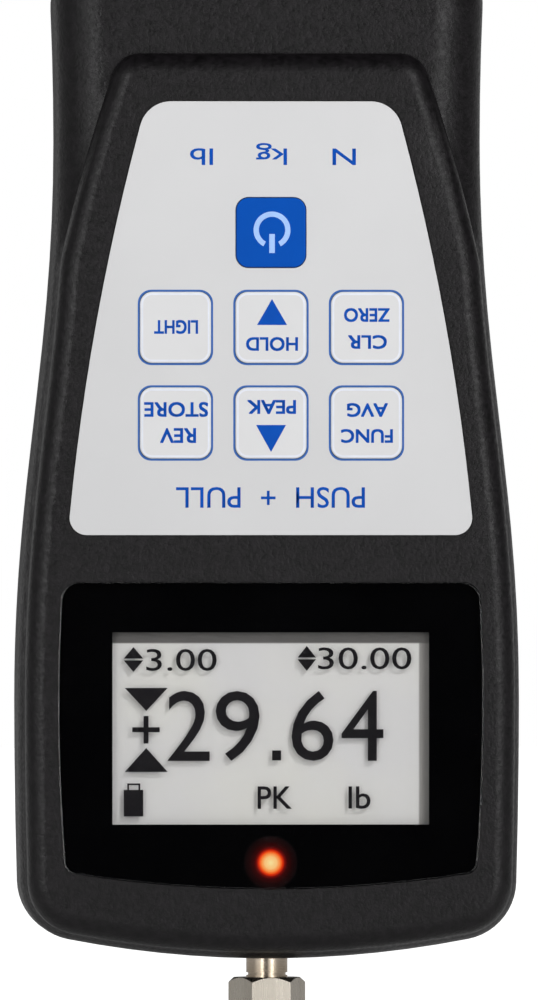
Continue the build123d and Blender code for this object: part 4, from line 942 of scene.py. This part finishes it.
class GAUGE_OT_display(bpy.types.Operator):
    """Shows the readings and signs on the display's front glass"""

    bl_idname = "gauge.display"
    bl_label = "Display"

    def execute(self, context):
        shown = context.scene.gauge_display
        depth = -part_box("lcd_front_glass")[0].y
        texts = (shown.low, shown.high, *shown.reading, shown.mode, shown.unit)
        for (name, box, bold), text in zip(READINGS, texts):
            mesh = print_words(name, text, box, depth, MARK_THICKNESS, bold, False)
            link(name, mesh, "housing", "liquid_crystal_black")
        mesh = print_shapes("display_signs", SIGNS, depth, MARK_THICKNESS)
        link("display_signs", mesh, "housing", "liquid_crystal_black")
        return {"FINISHED"}


class GAUGE_OT_lamp(bpy.types.Operator):
    """Paints the status lamp's glow as emission on a disc behind the window print round it"""

    bl_idname = "gauge.lamp"
    bl_label = "Status lamp"

    def execute(self, context):
        lamp_low, lamp_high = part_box("status_led")
        x, z = (lamp_low.x + lamp_high.x) / 2, (lamp_low.z + lamp_high.z) / 2
        # The glow round the lamp is painted: emission on a disc that is no lamp
        glow(
            "painted_lamp_glow", x, z, DISC_GLOW,
            ((0.0, "#FFE39E"), (0.20, "#FFCB82"), (0.30, "#FF9C50"), (0.38, "#F8641E"), (0.43, "#D82A06"),
             (0.51, "#6A0502"), (0.60, "#300100"), (0.80, "#140000"), (1.0, "#000000")), 1.0,
        )
        disc = bmesh.new()
        bmesh.ops.create_cone(
            disc, cap_ends=True, segments=64, radius1=DISC_RADIUS, radius2=DISC_RADIUS,
            depth=DISC_THICKNESS, matrix=Matrix.Translation((x, z, DISC_THICKNESS / 2)),
        )
        mesh = bpy.data.meshes.new("lamp_window")
        disc.to_mesh(mesh)
        disc.free()
        to_face(mesh, -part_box("display_lens")[1].y - DISC_THICKNESS - DISC_GAP)
        link("lamp_window", mesh, "housing", "painted_lamp_glow")
        return {"FINISHED"}


class GAUGE_OT_stage(bpy.types.Operator):
    """Sets up the floor, the studio light and the camera"""

    bl_idname = "gauge.stage"
    bl_label = "Stage"

    def execute(self, context):
        scene = context.scene
        chosen = scene.gauge_stage
        scene.view_settings.view_transform = "Standard"
        low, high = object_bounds()
        x, z = face_point(VIEW_COLUMN, VIEW_ROW)
        face = Vector((x, FACE_Y, z))
        self.floor(low.z - FLOOR_GAP)
        self.room(scene, chosen.ambient)
        key_way = Vector(KEY_WAY).normalized() * LAMP_DISTANCE
        self.lamp("key_lamp", chosen.key, KEY_SIZE, face, key_way).visible_glossy = False
        for name, side in (("left_lamp", -1), ("right_lamp", 1)):
            side_way = Vector((SIDE_WAY[0] * side, SIDE_WAY[1], 0.0)) * LAMP_DISTANCE
            self.lamp(name, chosen.side, SIDE_SIZE, face, side_way)
        camera = bpy.data.cameras.new("camera")
        camera.sensor_width = 36.0
        camera.lens = camera.sensor_width * chosen.distance / (FRAME_HEIGHT * PIXEL)
        holder = bpy.data.objects.new("camera", camera)
        scene.collection.objects.link(holder)
        back = Vector((sin(chosen.azimuth), -cos(chosen.azimuth), 0))
        holder.location = face + back * chosen.distance
        holder.rotation_euler = (-back).to_track_quat("-Z", "Y").to_euler()
        scene.camera = holder
        return {"FINISHED"}

    def floor(self, height):
        """A pale floor that looks white to the camera and still keeps the gauge's shadow."""
        material = bpy.data.materials.new("white_studio_floor")
        material.use_nodes = True
        tree = material.node_tree
        tree.nodes.clear()
        ray = node(tree, "ShaderNodeLightPath")
        place = node(tree, "ShaderNodeTexCoord").outputs["Object"]
        away = node(tree, "ShaderNodeVectorMath", {0: place}, operation="LENGTH")
        lift = node(
            tree, "ShaderNodeMapRange",
            {"Value": away.outputs["Value"], **dict(zip(SPAN, FLOOR_LIFT))},
        )
        own = node(tree, "ShaderNodeEmission", {"Color": (1, 1, 1, 1), "Strength": lift.outputs[0]})
        matt = node(tree, "ShaderNodeBsdfDiffuse", {"Color": (0.80, 0.80, 0.80, 1)})
        seen = node(tree, "ShaderNodeAddShader", {0: own.outputs[0], 1: matt.outputs[0]})
        lit = node(tree, "ShaderNodeBsdfDiffuse", {"Color": (*linear("#CFCFCF"), 1)})
        mix = node(
            tree, "ShaderNodeMixShader",
            {0: ray.outputs["Is Camera Ray"], 1: lit.outputs[0], 2: seen.outputs[0]},
        )
        node(tree, "ShaderNodeOutputMaterial", {"Surface": mix.outputs[0]})
        mesh = bpy.data.meshes.new("floor")
        outline = ((-1, FLOOR_FRONT), (1, FLOOR_FRONT), (1, FLOOR_REACH), (-1, FLOOR_REACH))
        mesh.from_pydata([(side * FLOOR_REACH, y, height) for side, y in outline], [], [(0, 1, 2, 3)])
        mesh.materials.append(material)
        plane = bpy.data.objects.new("floor", mesh)
        bpy.context.scene.collection.objects.link(plane)
        plane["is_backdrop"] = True

    def room(self, scene, ambient):
        """White behind the gauge, even light on it, and a dark camera side in what mirrors."""
        world = bpy.data.worlds.new("studio")
        world.use_nodes = True
        scene.world = world
        tree = world.node_tree
        tree.nodes.clear()
        ray = node(tree, "ShaderNodeLightPath")
        way = node(tree, "ShaderNodeTexCoord").outputs["Generated"]
        axes = node(tree, "ShaderNodeSeparateXYZ", {0: way})
        nudged = node(tree, "ShaderNodeMath", {0: axes.outputs["X"], 1: CARDS_ASIDE}, operation="ADD")
        sideways = node(tree, "ShaderNodeMath", {0: nudged.outputs[0]}, operation="ABSOLUTE")
        ramp = node(tree, "ShaderNodeValToRGB", {0: sideways.outputs[0]})
        ramp.color_ramp.interpolation = "EASE"
        while len(ramp.color_ramp.elements) < len(CARDS):
            ramp.color_ramp.elements.new(0.5)
        for element, (position, level) in zip(ramp.color_ramp.elements, CARDS):
            element.position = position
            element.color = (level, level, level, 1)
        upright = node(tree, "ShaderNodeMath", {0: axes.outputs["Z"]}, operation="ABSOLUTE")
        band = node(
            tree, "ShaderNodeMapRange",
            {"Value": upright.outputs[0], **dict(zip(SPAN, CARDS_UPRIGHT))},
        )
        front = node(
            tree, "ShaderNodeMapRange",
            {"Value": axes.outputs["Y"], **dict(zip(SPAN, CARDS_AHEAD))},
        )
        ahead = node(
            tree, "ShaderNodeMath", {0: ramp.outputs[0], 1: front.outputs[0]}, operation="MULTIPLY"
        )
        cards = node(
            tree, "ShaderNodeMath", {0: ahead.outputs[0], 1: band.outputs[0]}, operation="MULTIPLY"
        )
        rear = node(
            tree, "ShaderNodeMapRange",
            {"Value": axes.outputs["Y"], **dict(zip(SPAN, BEHIND))},
        )
        aside = node(
            tree, "ShaderNodeMapRange",
            {"Value": sideways.outputs[0], **dict(zip(SPAN, BEHIND_GAP))},
        )
        behind = node(
            tree, "ShaderNodeMath", {0: rear.outputs[0], 1: aside.outputs[0]}, operation="MULTIPLY"
        )
        level = node(
            tree, "ShaderNodeMath", {0: cards.outputs[0], 1: behind.outputs[0]}, operation="MAXIMUM"
        )
        mirrored = node(tree, "ShaderNodeBackground", {"Color": (1, 1, 1, 1), "Strength": level.outputs[0]})
        even = node(tree, "ShaderNodeBackground", {"Color": (1, 1, 1, 1), "Strength": ambient})
        white = node(tree, "ShaderNodeBackground", {"Color": (1, 1, 1, 1), "Strength": 1.0})
        shine = node(
            tree, "ShaderNodeMath",
            {0: ray.outputs["Is Glossy Ray"], 1: ray.outputs["Is Transmission Ray"]}, operation="MAXIMUM",
        )
        lit = node(
            tree, "ShaderNodeMixShader", {0: shine.outputs[0], 1: even.outputs[0], 2: mirrored.outputs[0]}
        )
        seen = node(
            tree, "ShaderNodeMixShader",
            {0: ray.outputs["Is Camera Ray"], 1: lit.outputs[0], 2: white.outputs[0]},
        )
        node(tree, "ShaderNodeOutputWorld", {"Surface": seen.outputs[0]})

    def lamp(self, name, power, size, target, offset):
        """A soft rectangular lamp aimed at the gauge."""
        light = bpy.data.lights.new(name, "AREA")
        light.shape = "RECTANGLE"
        light.size, light.size_y = size
        light.energy = power
        holder = bpy.data.objects.new(name, light)
        holder.location = target + offset
        holder.rotation_euler = (-offset).to_track_quat("-Z", "Y").to_euler()
        holder.visible_camera = False
        bpy.context.scene.collection.objects.link(holder)
        return holder


class GAUGE_PT_panel(bpy.types.Panel):
    """Lists the gauge's settings and steps"""

    bl_idname = "GAUGE_PT_panel"
    bl_label = "Force gauge"
    bl_space_type = "VIEW_3D"
    bl_region_type = "UI"
    bl_category = "Force gauge"

    def draw(self, context):
        for group in SETTINGS:
            box = self.layout.box()
            for name in group.__annotations__:
                box.prop(getattr(context.scene, SETTINGS[group]), name)
        for operator in OPERATORS:
            self.layout.operator(operator.bl_idname)


SETTINGS = {
    GaugeFinishSettings: "gauge_finish",
    GaugePrintSettings: "gauge_print",
    GaugeThreadSettings: "gauge_thread",
    GaugeDisplaySettings: "gauge_display",
    GaugeStageSettings: "gauge_stage",
}
OPERATORS = (
    GAUGE_OT_finishes,
    GAUGE_OT_smooth_shell,
    GAUGE_OT_window_print,
    GAUGE_OT_bending_sensor,
    GAUGE_OT_key_outlines,
    GAUGE_OT_threads,
    GAUGE_OT_legends,
    GAUGE_OT_display,
    GAUGE_OT_lamp,
    GAUGE_OT_stage,
)


def register():
    for group, name in SETTINGS.items():
        bpy.utils.register_class(group)
        setattr(bpy.types.Scene, name, bpy.props.PointerProperty(type=group))
    for kind in (*OPERATORS, GAUGE_PT_panel):
        bpy.utils.register_class(kind)


def unregister():
    for kind in (GAUGE_PT_panel, *reversed(OPERATORS)):
        bpy.utils.unregister_class(kind)
    for group, name in reversed(SETTINGS.items()):
        delattr(bpy.types.Scene, name)
        bpy.utils.unregister_class(group)


def main():
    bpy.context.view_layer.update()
    register()
    bpy.ops.gauge.finishes()
    bpy.ops.gauge.smooth_shell()
    bpy.ops.gauge.window_print()
    bpy.ops.gauge.bending_sensor()
    bpy.ops.gauge.key_outlines()
    bpy.ops.gauge.threads()
    bpy.ops.gauge.legends()
    bpy.ops.gauge.display()
    bpy.ops.gauge.lamp()
    bpy.ops.gauge.stage()


if __name__ == "__main__":
    main()
